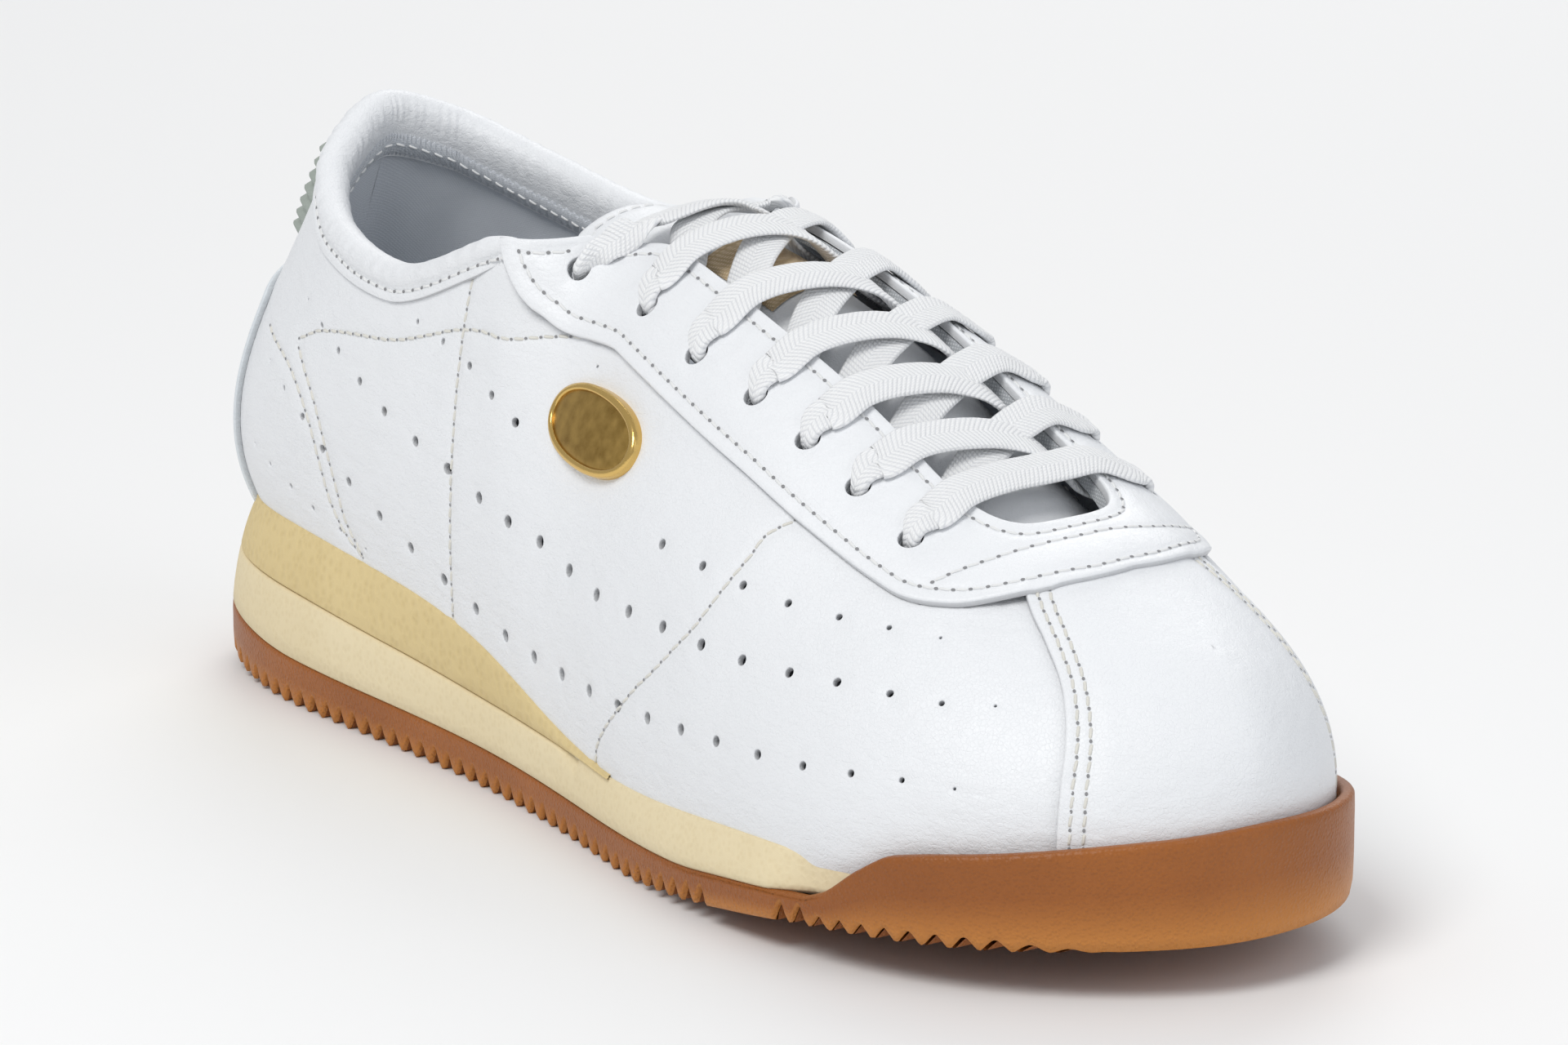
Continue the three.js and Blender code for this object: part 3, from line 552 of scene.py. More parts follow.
# ---- materials ----
class Shader:
    """Short way to write a node material."""

    def __init__(self, name, color, rough, metal=0.0, **inputs):
        self.material = bpy.data.materials.new(name)
        self.material.use_nodes = True
        self.nodes = self.material.node_tree.nodes
        self.links = self.material.node_tree.links
        self.main = self.nodes["Principled BSDF"]
        self.set(self.main, "Base Color", color)
        self.set(self.main, "Roughness", rough)
        self.set(self.main, "Metallic", metal)
        for key, value in inputs.items():
            self.set(self.main, key.replace("_", " "), value)
        self.place = self.nodes.new("ShaderNodeTexCoord").outputs["Object"]

    def set(self, node, key, value):
        if isinstance(value, bpy.types.NodeSocket):
            self.links.new(value, node.inputs[key])
        elif isinstance(value, (tuple, list)) and len(value) == 3 and node.inputs[key].type == "RGBA":
            node.inputs[key].default_value = (*value, 1)
        else:
            node.inputs[key].default_value = value

    def node(self, kind, out=0, **inputs):
        node = self.nodes.new("ShaderNode" + kind)
        for key, value in inputs.items():
            if hasattr(node, key) and not isinstance(value, bpy.types.NodeSocket) and key not in node.inputs:
                setattr(node, key, value)
            else:
                self.set(node, key, value)
        return node.outputs[out]

    def mapped(self, scale, source=None):
        return self.node("Mapping", Vector=source or self.place, Scale=scale)

    def noise(self, scale, detail=3.0, rough=0.5, source=None, stretch=None):
        vector = self.mapped(stretch, source) if stretch else (source or self.place)
        return self.node("TexNoise", Vector=vector, Scale=scale, Detail=detail, Roughness=rough)

    def voronoi(self, scale, source=None, feature="F1", stretch=None, randomness=1.0):
        vector = self.mapped(stretch, source) if stretch else (source or self.place)
        return self.node("TexVoronoi", Vector=vector, Scale=scale, feature=feature, Randomness=randomness)

    def math(self, operation, a, b=0.0, clamp=False):
        node = self.nodes.new("ShaderNodeMath")
        node.operation = operation
        node.use_clamp = clamp
        for key, value in ((0, a), (1, b)):
            if isinstance(value, bpy.types.NodeSocket):
                self.links.new(value, node.inputs[key])
            else:
                node.inputs[key].default_value = value
        return node.outputs[0]

    def ramp(self, value, low, high, a=0.0, b=1.0):
        return self.node("MapRange", Value=value,
                         **{"From Min": low, "From Max": high, "To Min": a, "To Max": b})

    def mix(self, factor, a, b):
        node = self.nodes.new("ShaderNodeMix")
        node.data_type = "RGBA"
        for key, value in ((0, factor), (6, a), (7, b)):
            if isinstance(value, bpy.types.NodeSocket):
                self.links.new(value, node.inputs[key])
            else:
                node.inputs[key].default_value = (*value, 1) if isinstance(value, tuple) else value
        return node.outputs[2]

    def bump(self, height, distance, strength=1.0, below=None):
        node = self.nodes.new("ShaderNodeBump")
        self.set(node, "Height", height)
        node.inputs["Distance"].default_value = distance
        node.inputs["Strength"].default_value = strength
        if below is not None:
            self.links.new(below, node.inputs["Normal"])
        return node.outputs[0]

    def attribute(self, name):
        node = self.nodes.new("ShaderNodeAttribute")
        node.attribute_name = name
        return node.outputs["Fac"]

    def done(self, base=None, rough=None, bump=None):
        for key, value in (("Base Color", base), ("Roughness", rough), ("Normal", bump)):
            if value is not None:
                self.links.new(value, self.main.inputs[key])
        return self.material


def srgb(r, g, b):
    return tuple(((c / 255 + 0.055) / 1.055) ** 2.4 if c > 10 else c / 255 / 12.92 for c in (r, g, b))


def leather(name, color, rough=0.42, grain=1.0, edge=None):
    m = Shader(name, color, rough, Specular_IOR_Level=0.42, Coat_Weight=0.12, Coat_Roughness=0.35)
    cells = m.node("TexVoronoi", Vector=m.place, Scale=1250.0, feature="DISTANCE_TO_EDGE")
    pores = m.noise(2600.0, 2.0)
    creases = m.noise(210.0, 5.0, 0.62, stretch=(1, 1, 1.9))
    soft = m.noise(38.0, 2.0, 0.5)
    fine = m.bump(m.ramp(cells, 0.0, 0.12), 0.00005 * grain, 0.55)
    fine = m.bump(pores, 0.00006 * grain, 0.5, fine)
    fine = m.bump(creases, 0.0007, 0.5, fine)
    fine = m.bump(soft, 0.0022, 0.22, fine)
    rim = m.attribute("rim")
    raw = edge or tuple(c * 0.62 for c in color)
    tone = m.mix(m.ramp(m.noise(24.0, 2.0), 0.3, 0.7), color, tuple(c * 0.955 for c in color))
    base = m.mix(m.ramp(rim, 0.55, 0.95), tone, raw)
    return m.done(base, m.ramp(creases, 0.3, 0.7, rough - 0.05, rough + 0.09), fine)


def rubber(name, color, dark, rough=0.5, pebble=1.0, wear_and_painted_light=0.5, light=None):
    m = Shader(name, color, rough, Specular_IOR_Level=0.4, Subsurface_Weight=0.0)
    dots = m.voronoi(1500.0)
    grain = m.noise(1900.0, 3.0)
    patch = m.noise(30.0, 3.0)
    bump = m.bump(m.ramp(dots, 0.0, 0.6, 1, 0), 0.00012 * pebble, 0.6)
    bump = m.bump(grain, 0.00006 * pebble, 0.5, bump)
    base = m.mix(m.ramp(patch, 0.3, 0.75, 0, wear_and_painted_light), color, dark)
    base = m.mix(m.ramp(grain, 0.35, 0.7, 0.0, 0.22), base, dark)
    # On the outsole the rim attribute lays this lighter colour over the bottom rows and teeth: a painted
    # highlight.
    if light:
        base = m.mix(m.math("MULTIPLY", m.attribute("rim"), 0.85), base, light)
    return m.done(base, None, bump)


def foam(name, color, dark, cell=900.0, depth=0.0001, rough=0.78):
    m = Shader(name, color, rough, Specular_IOR_Level=0.25, Sheen_Weight=0.05)
    cells = m.voronoi(cell)
    cloud = m.noise(45.0, 4.0)
    bump = m.bump(m.ramp(cells, 0.0, 0.7), depth, 0.6)
    bump = m.bump(m.noise(300.0, 3.0), 0.0002, 0.25, bump)
    # Darker where the cells' bump is lowest: painted shade in the foam's pores.
    base = m.mix(m.ramp(cells, 0.05, 0.55, 0.30, 0.0), color, dark)
    base = m.mix(m.ramp(cloud, 0.35, 0.75, 0.0, 0.25), base, dark)
    return m.done(base, None, bump)


def cloth(name, color, dark, thread_scale=1150.0, depth=0.00016, sheen=0.25):
    """Woven or knitted fabric: crossing ribs in object space, with fibre noise and painted shade between the
    ribs.
    """
    m = Shader(name, color, 0.92, Specular_IOR_Level=0.15, Sheen_Weight=sheen, Sheen_Roughness=0.5)
    wave = {"Vector": m.place, "Scale": thread_scale * 0.45, "Distortion": 1.2, "Detail": 1.0,
            "Detail Scale": 3.0}
    x = m.node("TexWave", **wave)
    z = m.node("TexWave", bands_direction="Z", **wave)
    weave = m.math("MULTIPLY", x, z)
    fibre = m.noise(3000.0, 3.0)
    bump = m.bump(weave, depth, 0.7)
    bump = m.bump(fibre, 0.00008, 0.6, bump)
    # Darker where the weave's bump is lowest: painted shade between the threads.
    base = m.mix(m.ramp(weave, 0.0, 0.7), dark, color)
    base = m.mix(m.ramp(fibre, 0.35, 0.7, 0.0, 0.35), base, dark)
    return m.done(base, None, bump)


def plain(name, color, rough, metal=0.0, grain=None, **inputs):
    m = Shader(name, color, rough, metal, **inputs)
    bump = m.bump(m.noise(grain, 3.0), 0.00005, 0.5) if grain else None
    return m.done(None, None, bump)


WHITE = leather("white_leather", srgb(238, 240, 243))
STAY = leather("stay_leather", srgb(239, 241, 244), 0.4, 0.8)
PALE = leather("pale_leather", srgb(222, 228, 233), 0.42)
COLLAR = leather("collar_leather", srgb(238, 240, 243), 0.46, 1.2)
THREAD = plain("thread", srgb(232, 233, 233), 0.7, grain=5200.0, Sheen_Weight=0.2)
SEAM_THREAD = plain("seam_thread", srgb(222, 220, 212), 0.7, grain=5200.0, Sheen_Weight=0.2)
# Flat grey for the discs at the needle holes: painted shade.
NEEDLE_SHADE = plain("needle_hole_shade", srgb(140, 140, 142), 0.9)
# The last colour is the painted highlight on the outsole's bottom rows and teeth.
GUM = rubber("gum", srgb(164, 97, 38), srgb(130, 72, 28), 0.42, 1.6, 0.7, srgb(206, 136, 62))
CREAM = foam("cream_foam", srgb(233, 218, 182), srgb(214, 194, 150))
BEIGE = foam("beige_foam", srgb(222, 201, 150), srgb(196, 172, 118), cell=620.0, depth=0.00025)
LINING = cloth("lining", srgb(226, 230, 235), srgb(210, 215, 222), 2600.0, 0.00004)
SOCK = cloth("sock", srgb(196, 201, 206), srgb(150, 156, 162), 900.0)
BINDING = cloth("binding", srgb(222, 225, 229), srgb(196, 201, 208), 2600.0, 0.00008)
TAB = rubber("heel_tab", srgb(168, 176, 169), srgb(140, 148, 142), 0.62, 0.7, 0.35)
INNER = plain("inner_board", srgb(120, 112, 98), 0.95, grain=900.0)
OPEN_FOAM = foam("open_foam", srgb(240, 220, 192), srgb(205, 178, 145), cell=1400.0, depth=0.0003,
                 rough=0.95)
LABEL = cloth("label", srgb(226, 205, 172), srgb(190, 166, 130), 1500.0)
FACING = cloth("facing", srgb(214, 217, 220), srgb(170, 174, 178), 1300.0)


def lace_material():
    """Flat braid: two sets of slanting yarns that meet in the middle, from the strip's own coordinates."""
    m = Shader("lace", srgb(240, 241, 243), 0.85, Specular_IOR_Level=0.2, Sheen_Weight=0.3)
    uv = m.node("UVMap")
    split = m.nodes.new("ShaderNodeSeparateXYZ")
    m.links.new(uv, split.inputs[0])
    along, across = split.outputs[0], split.outputs[1]
    slant = m.math("MULTIPLY", m.math("ABSOLUTE", across), 0.55)
    phase = m.math("MULTIPLY", m.math("ADD", along, slant), 2 * math.pi / 0.85)
    yarn = m.math("ABSOLUTE", m.math("SINE", m.math("MULTIPLY", phase, 0.5)))
    cell = m.math("ABSOLUTE", m.math("SINE", m.math("MULTIPLY", across, math.pi / 0.6)))
    height = m.math("MULTIPLY", yarn, m.math("ADD", m.math("MULTIPLY", cell, 0.6), 0.4))
    fibre = m.noise(4200.0, 2.0)
    bump = m.bump(height, 0.00028, 0.7)
    bump = m.bump(fibre, 0.00007, 0.6, bump)
    # Darker in the braid's hollows, where the bump is lowest: painted shade between the yarns.
    base = m.mix(m.ramp(height, 0.0, 0.45), srgb(224, 226, 230), srgb(244, 245, 246))
    return m.done(base, None, bump)


LACE = lace_material()


def badge_material():
    m = Shader("badge_face", srgb(178, 144, 76), 0.38, 1.0)
    cloud = m.noise(420.0, 4.0)
    base = m.mix(m.ramp(cloud, 0.3, 0.7), srgb(160, 126, 62), srgb(190, 156, 88))
    return m.done(base, m.ramp(cloud, 0.3, 0.7, 0.26, 0.46), m.bump(m.noise(2600.0, 2.0), 0.00004, 0.4))


BADGE_FACE = badge_material()
BADGE_EDGE = plain("badge_edge", srgb(222, 186, 112), 0.22, 1.0, grain=2200.0)
FILM = plain("aglet_film", srgb(236, 238, 240), 0.2, grain=1800.0, Coat_Weight=0.6)


# ---- the upper's lines ----
def mirrored(places):
    """The same places on the inner side of the shoe."""
    return [(STATIONS - s, h) for s, h in places]


STAY_OUTER = [(4.03, -0.015), (4.09, -0.07), (4.20, -0.14), (4.34, -0.205), (4.50, -0.275), (4.72, -0.33),
              (4.96, -0.36), (5.30, -0.38), (5.66, -0.39), (6.03, -0.395), (6.37, -0.40), (6.67, -0.40),
              (6.95, -0.40), (7.20, -0.395), (7.42, -0.36), (7.60, -0.31), (7.78, -0.24), (7.92, -0.16),
              (8.03, -0.08), (8.07, 0.0)]
STAY_INNER = [(4.42, -0.06), (4.60, -0.115), (4.84, -0.155), (5.15, -0.17), (5.60, -0.175), (6.10, -0.17),
              (6.60, -0.165), (6.95, -0.17), (7.20, -0.165), (7.38, -0.14), (7.49, -0.09), (7.54, 0.0)]


def across_ridge(places, share=1.0):
    """A lateral line that ends on the ridge, continued on the inner side."""
    mirror = [(a, -b * (share if a > 4.7 else 1)) for a, b in reversed(places[:-1])]
    return list(places) + mirror


def stay_border():
    outer = smooth_line(np.array(across_ridge(STAY_OUTER)))
    inner = smooth_line(np.array(across_ridge(STAY_INNER, THROAT[1] / THROAT[-1])))
    return np.vstack([outer, inner[::-1]])


def inset_line(places, chart, distance):
    """The line moved to its left by about that many millimetres, in chart places."""
    flat = smooth_line(np.asarray(places, float) * chart.scale)
    along = np.gradient(flat, axis=0)
    left = unit(np.stack([-along[:, 1], along[:, 0]], 1))
    return (flat + left * distance) / chart.scale


TOP_LINES = {
    "stay_outer": inset_line(across_ridge(STAY_OUTER), TOP, 1.9)[6:-6],
    "stay_inner": inset_line(across_ridge(STAY_INNER, THROAT[1] / THROAT[-1]), TOP, -1.9)[4:-4],
    "crescent": smooth_line([(7.30, -0.345), (7.52, -0.20), (7.68, -0.06), (7.70, 0.04), (7.66, 0.14),
                             (7.52, 0.24), (7.34, 0.335)]),
    "stay_back_outer": np.array([(4.18, -0.056), (4.36, -0.082)]),
    "stay_back_inner": np.array([(4.18, 0.056), (4.36, 0.082)]),
}
CAP_SEAM = [(7.88, 1.0), (7.80, 0.93), (7.72, 0.85), (7.74, 0.78), (7.88, 0.735), (8.06, 0.69), (8.25, 0.62),
            (8.36, 0.54), (8.42, 0.44), (8.43, 0.32), (8.43, 0.16), (8.43, -0.012)]
QUARTER_LINES = [
    [(1.99, 0.65), (2.30, 0.73), (2.90, 0.80), (3.62, 0.83), (4.20, 0.77), (4.62, 0.69)],
    [(2.02, 0.62), (2.14, 0.57), (2.31, 0.48), (2.44, 0.35), (2.52, 0.23), (2.58, 0.12), (2.69, 0.04)],
    [(1.46, 0.58), (1.86, 0.56), (2.09, 0.50), (2.28, 0.39), (2.38, 0.27), (2.45, 0.16), (2.55, 0.08),
     (2.70, 0.03)],
    [(3.74, 0.955), (3.71, 0.80), (3.66, 0.55), (3.60, 0.30), (3.55, 0.03)],
    [(6.43, 0.595), (6.30, 0.54), (6.24, 0.49), (6.03, 0.37), (5.85, 0.30), (5.67, 0.24), (5.53, 0.20),
     (5.37, 0.15), (5.22, 0.10), (5.11, 0.05), (5.07, 0.0)],
]
CAP_LINES = [inset_line(CAP_SEAM, SIDE, 1.7)[24:-4], inset_line(CAP_SEAM, SIDE, 4.1)[24:-4]]
BACKSTAY_LINES = [[(1.04, 0.02), (1.05, 0.3), (1.03, 0.565), (0.85, 0.588), (0.3, 0.60)]]
PERFORATIONS = [
    ([(4.21, 0.91), (4.55, 0.70), (4.78, 0.62)], 3, (1.0, 1.3)),
    ([(3.08, 0.94), (3.53, 0.81), (3.95, 0.69), (4.37, 0.55), (4.88, 0.43), (5.28, 0.42), (5.95, 0.44),
      (6.52, 0.47), (7.10, 0.53), (7.47, 0.575)], 17, (1.0, 2.3)),
    ([(1.94, 0.78), (2.52, 0.70), (2.94, 0.60), (3.33, 0.52), (3.78, 0.45), (4.32, 0.38), (4.96, 0.30),
      (5.72, 0.32), (6.40, 0.35), (7.00, 0.40), (7.62, 0.45), (7.92, 0.49)], 21, (1.0, 2.7)),
    ([(1.68, 0.51), (1.92, 0.47), (2.12, 0.43), (2.44, 0.32), (2.97, 0.21), (3.37, 0.17), (3.88, 0.15),
      (4.47, 0.14), (5.25, 0.15), (6.10, 0.19), (6.79, 0.22), (7.47, 0.26), (7.80, 0.27)], 22, (1.0, 2.7)),
    ([(1.60, 0.21), (1.95, 0.15), (2.34, 0.09), (2.75, 0.07)], 6, (1.0, 1.5)),
]


def perforation_places(side):
    """Rows of punched holes, larger in the middle of a row: chart place and diameter."""
    holes = []
    for line, count, (least, most) in PERFORATIONS:
        path = resample(smooth_line(np.array(line) * SIDE.scale), 0.5)
        at = np.linspace(0, len(path) - 1, count).round().astype(int)
        for k, p in enumerate(path[at]):
            size = least + (most - least) * math.sin(math.pi * k / max(count - 1, 1)) ** 0.7
            s, h = p / SIDE.scale
            if abs(s - 4.90) < 0.55 and 0.40 < h < 0.62:
                continue
            holes.append(((s if side < 0 else STATIONS - s, h), size))
    return holes


SEAM_FLATS = {}


def collect_seams():
    """Every stitch line's base points, for the hollows that the stitches pull into the leather."""
    for key, places in TOP_LINES.items():
        points, _, flat = surface_line(TOP, places, 0.0, smooth=False)
        SEAMS.append(points)
        SEAM_FLATS[key] = flat
    for i, places in enumerate(QUARTER_LINES + CAP_LINES + BACKSTAY_LINES):
        for side in (-1, 1):
            line = places if side < 0 else mirrored(places)
            points, _, flat = surface_line(SIDE, line, 0.0)
            SEAMS.append(points)
            SEAM_FLATS[(i, side)] = flat


def beside(flats, steps=(-1.6, -0.8, 0.0, 0.8, 1.6), stride=2):
    """Points along and beside seam lines, to carry their hollows."""
    rows = []
    for flat in flats:
        along = unit(np.gradient(flat, axis=0))
        left = np.stack([-along[:, 1], along[:, 0]], 1)
        rows += [flat[::stride] + left[::stride] * d for d in steps]
    return np.vstack(rows)


# ---- the upper ----
QUARTER_TOP = [(0.005, 0.985), (0.5, 0.985), (1, 0.985), (1.5, 0.985), (2, 0.985), (2.5, 0.985), (3, 0.985),
               (3.5, 0.985), (3.96, 0.985), (4.06, 0.93), (4.25, 0.84), (4.45, 0.765), (4.8, 0.69),
               (5.3, 0.665), (6.2, 0.655), (7.2, 0.655), (7.5, 0.70), (7.8, 0.77), (8.0, 0.81),
               (8.2, 0.80), (8.42, 0.73),
               (8.58, 0.66)]


def quarter(side, name):
    places = QUARTER_TOP if side < 0 else mirrored(QUARTER_TOP)
    end, start = (QUARTER_END, 0.005) if side < 0 else (STATIONS - QUARTER_END, 19.995)
    border = np.vstack([places, [(end, UNDER_EDGE), (start, UNDER_EDGE)]])
    holes = [SIDE.ring(place, size / 2, 14) for place, size in perforation_places(side)]
    flats = [SEAM_FLATS[(i, side)] for i in range(len(QUARTER_LINES))]
    panel(name, SIDE, border, WHITE, 0.0, LEATHER, holes=holes, seam_extra=beside(flats), spacing=2.4)


def toe_cap():
    seam = smooth_line(np.array(CAP_SEAM))
    half = np.linspace(CAP_SEAM[0][0], 10, 30)[1:]
    ridge = np.concatenate([half, STATIONS - half[:-1][::-1]])
    floor = np.stack([np.linspace(CAP_START, STATIONS - CAP_START, 90)[1:-1], np.full(88, UNDER_EDGE)], 1)
    other = seam[::-1] * (-1, 1) + (STATIONS, 0)
    top = np.stack([ridge[::-1], np.ones(len(ridge))], 1)
    border = np.vstack([seam, floor, other, top])
    flats = [SEAM_FLATS[(i, side)] for i in range(len(QUARTER_LINES), len(QUARTER_LINES) + len(CAP_LINES))
             for side in (-1, 1)]
    panel("toe_cap", SIDE, border, WHITE, CAP_OUT, LEATHER, seam_extra=beside(flats), spacing=2.2,
          even=False)


def climb(flat):
    """How far the eyestay rises where it lies over the toe cap and over the collar."""
    a = flat[:, 0] / TOP.scale[0]
    front = np.clip((a - 7.45) / 0.35, 0, 1)
    rear = np.clip((4.55 - a) / 0.35, 0, 1)
    return 1.15 * front * front * (3 - 2 * front) + 0.9 * rear * rear * (3 - 2 * rear)


def eyelet_rings(radius):
    return [TOP.ring((a, side * b), radius, 20) for a, b in EYELETS for side in (-1, 1)]


def eyestay():
    flats = [SEAM_FLATS[key] for key in TOP_LINES]
    panel("eyestay", TOP, stay_border(), STAY, STAY_OUT, 1.45, holes=eyelet_rings(2.3),
          seam_extra=beside(flats), spacing=2.2, shape=climb)


def facing():
    outer = smooth_line(across_ridge([(a, b * 0.8) for a, b in STAY_OUTER]))
    inner = smooth_line(across_ridge([(a, b * 0.97) for a, b in STAY_INNER], 0.84))
    panel("facing", TOP, np.vstack([outer, inner[::-1]]), FACING, -0.05, 2.0, holes=eyelet_rings(2.2),
          spacing=3.0, press=False, round_edge=0.3)


def backstay():
    right = smooth_line([(1.15, UNDER_EDGE), (1.17, 0.3), (1.15, 0.58), (1.05, 0.612), (0.8, 0.62),
                         (0, 0.625)])
    left = right[::-1] * (-1, 1)
    panel("backstay", SIDE, np.vstack([right, left[1:]]), PALE, 1.2, 1.2, spacing=2.4)


def both_sides(group, out, centre=STATIONS):
    """The points and normals of each line in the group, and of its mirror image."""
    lines = []
    for places in group:
        for line in (places, [(centre - s, h) for s, h in places]):
            lines.append(surface_line(SIDE, line, out)[:2])
    return lines


def upper_threads():
    lines = []
    for places in TOP_LINES.values():
        points, normals, flat = surface_line(TOP, places, STAY_OUT - 0.3, smooth=False)
        lines.append((points + normals * climb(flat)[:, None], normals))
    thread("eyestay_stitches", lines, THREAD)
    needle_shade_discs("eyestay_needle_shade", lines)
    lines = both_sides(QUARTER_LINES, -0.3)
    thread("quarter_stitches", lines, SEAM_THREAD)
    needle_shade_discs("quarter_needle_shade", lines, 0.17, radius=0.3)
    lines = both_sides(CAP_LINES, CAP_OUT - 0.3)
    thread("toe_cap_stitches", lines, SEAM_THREAD)
    needle_shade_discs("toe_cap_needle_shade", lines, radius=0.32)
    thread("backstay_stitches", both_sides(BACKSTAY_LINES, 0.95, centre=0), THREAD)


# ---- collar ----
COLLAR_END = 4.10
COLLAR_SECTION = [(-3.6, -0.2), (-3.5, 0.55), (-3.1, 0.72), (-2.4, 0.70), (-1.7, 0.42), (-1.1, 0.62),
                  (-0.3, 1.15), (0.9, 1.40), (2.1, 1.0), (3.0, 0.0), (3.4, -1.4), (3.1, -2.8),
                  (2.1, -4.0), (0.6, -4.7),
                  (-1.5, -5.0), (-3.6, -4.9), (-5.6, -4.5), (-8.0, -4.1)]


def collar_frame(s):
    c = last(s, np.ones_like(s))
    n = normal(s, np.ones_like(s))
    t = unit(c - last(s, np.full_like(s, 0.97)))
    return c, t, n


def collar():
    section = smooth_line(np.array(COLLAR_SECTION, float))
    s = np.linspace(-COLLAR_END, COLLAR_END, 420)
    c, t, n = collar_frame(s)
    gather = 0.10 * np.sin(s * 31 + 2 * np.sin(s * 7)) + 0.07 * np.sin(s * 53 + 1.3)
    bulge = np.clip((section[:, 0] + 1.2) / 2, 0, 1) * np.clip((7 - np.abs(section[:, 0])) / 6, 0, 1)
    ease = np.clip((COLLAR_END - np.abs(s)) / 0.30, 0, 1) ** 0.6
    up = section[:, 0][None, :] * (0.25 + 0.75 * ease)[:, None]
    out = section[:, 1][None, :] + (gather[:, None] * bulge[None, :])
    out = -2.2 + (out + 2.2) * (0.35 + 0.65 * ease)[:, None]
    points = c[:, None] + t[:, None] * up[..., None] + n[:, None] * out[..., None]
    cut_edge = (section[:, 0] < -3.3) & (section[:, 1] > -0.3) & (section[:, 1] < 0.6)
    obj = grid("collar_roll", points, COLLAR, flip=True, slot="collar_leather",
               layers={"rim": np.tile(cut_edge, len(s)).astype(float)})
    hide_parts("collar_roll")
    s = np.linspace(-COLLAR_END + 0.03, COLLAR_END - 0.03, 800)
    c, t, n = collar_frame(s)
    lines = [(c + t * -1.75 + n * 0.46, n)]
    thread("collar_stitches", lines, THREAD)
    needle_shade_discs("collar_needle_shade", lines, 0.15)


def binding():
    """Pinked tape round the inside of the collar."""
    s = np.linspace(-3.95, 3.95, 900)
    c, t, n = collar_frame(s)
    zig = 0.45 * (2 * np.abs((s * 14) % 1 - 0.5) * 2 - 1)
    rows = [(-3.3 + zig, -4.85), (-3.5 + zig, -5.35), (-5.0 + 0 * s, -5.3), (-7.0 + 0 * s, -4.9),
            (-7.4 + zig, -4.2)]
    points = np.stack([c + t * up[:, None] + n * out for up, out in rows], 1)
    obj = grid("collar_binding", points, BINDING, flip=True)
    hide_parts("collar_binding")
    points = c + t * -5.2 - n * 5.3
    thread("binding_stitches", [(points, -n)], THREAD, pitch=2.4, length=1.9, radius=0.22)


def lining(side, name):
    s = np.linspace(0, 8.64, 130)
    place = s if side < 0 else STATIONS - s
    limit = np.interp(s, [0, 3.95, 4.3, 4.8, 5.3, 7.2, 8.2, 8.64],
                      [0.95, 0.95, 0.82, 0.70, 0.69, 0.70, 0.9, 0.93])
    hh = limit[:, None] * np.linspace(0, 1, 60)[None, :] - 0.01
    ss = np.broadcast_to(place[:, None], hh.shape)
    soft = 0.15 * np.sin(ss * 9 + 3 * hh) * np.sin(hh * 17)
    points = skin(ss, hh, LINING_OUT + soft)
    obj = grid(name, points, LINING, flip=side < 0)
    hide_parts(name)


# ---- tongue ----
tongue_z = profile([(-38, 93), (-22, 92.3), (-8, 91.9), (10, 87.9), (28, 81.3), (45, 72.9), (62, 64.2),
                    (79, 56.2)])
tongue_drop = profile([(-38, 0.03), (-30, 0.032), (-14, 0.045), (-4, 0.046), (10, 0.042), (20, 0.038),
                       (30, 0.035), (50, 0.029), (79, 0.022)])
tongue_half = profile([(-38, 16), (-30, 17), (-20, 16), (-12, 15.6), (0, 16.5), (28, 19), (62, 18),
                       (79, 13)])
tongue_middle = profile([(-38, 4), (-12, 4), (0, 4.7), (30, 6.3), (50, 7.5), (79, 7.8)])


def tongue_at(x, y, depth):
    def height(px, py):
        return tongue_z(px) - tongue_drop(px) * (py - tongue_middle(px)) ** 2
    py = tongue_middle(x) + y
    n = unit(np.stack([-(height(x + 0.5, py) - height(x - 0.5, py)),
                       -(height(x, py + 0.5) - height(x, py - 0.5)), np.ones_like(x + y)], -1))
    return np.stack([x + 0 * py, py, height(x, py)], -1) - n * np.asarray(depth)[..., None]


def tongue_width(x, trim):
    """Half the tongue's width at x, trimmed, with its rear corners rounded over their last 9 mm."""
    corner = np.sqrt(np.clip(1 - (np.clip(9 - (x + TONGUE_BACK - trim), 0, 9) / 9) ** 2.6, 0, 1))
    return (tongue_half(x) - trim) * (0.45 + 0.55 * corner)


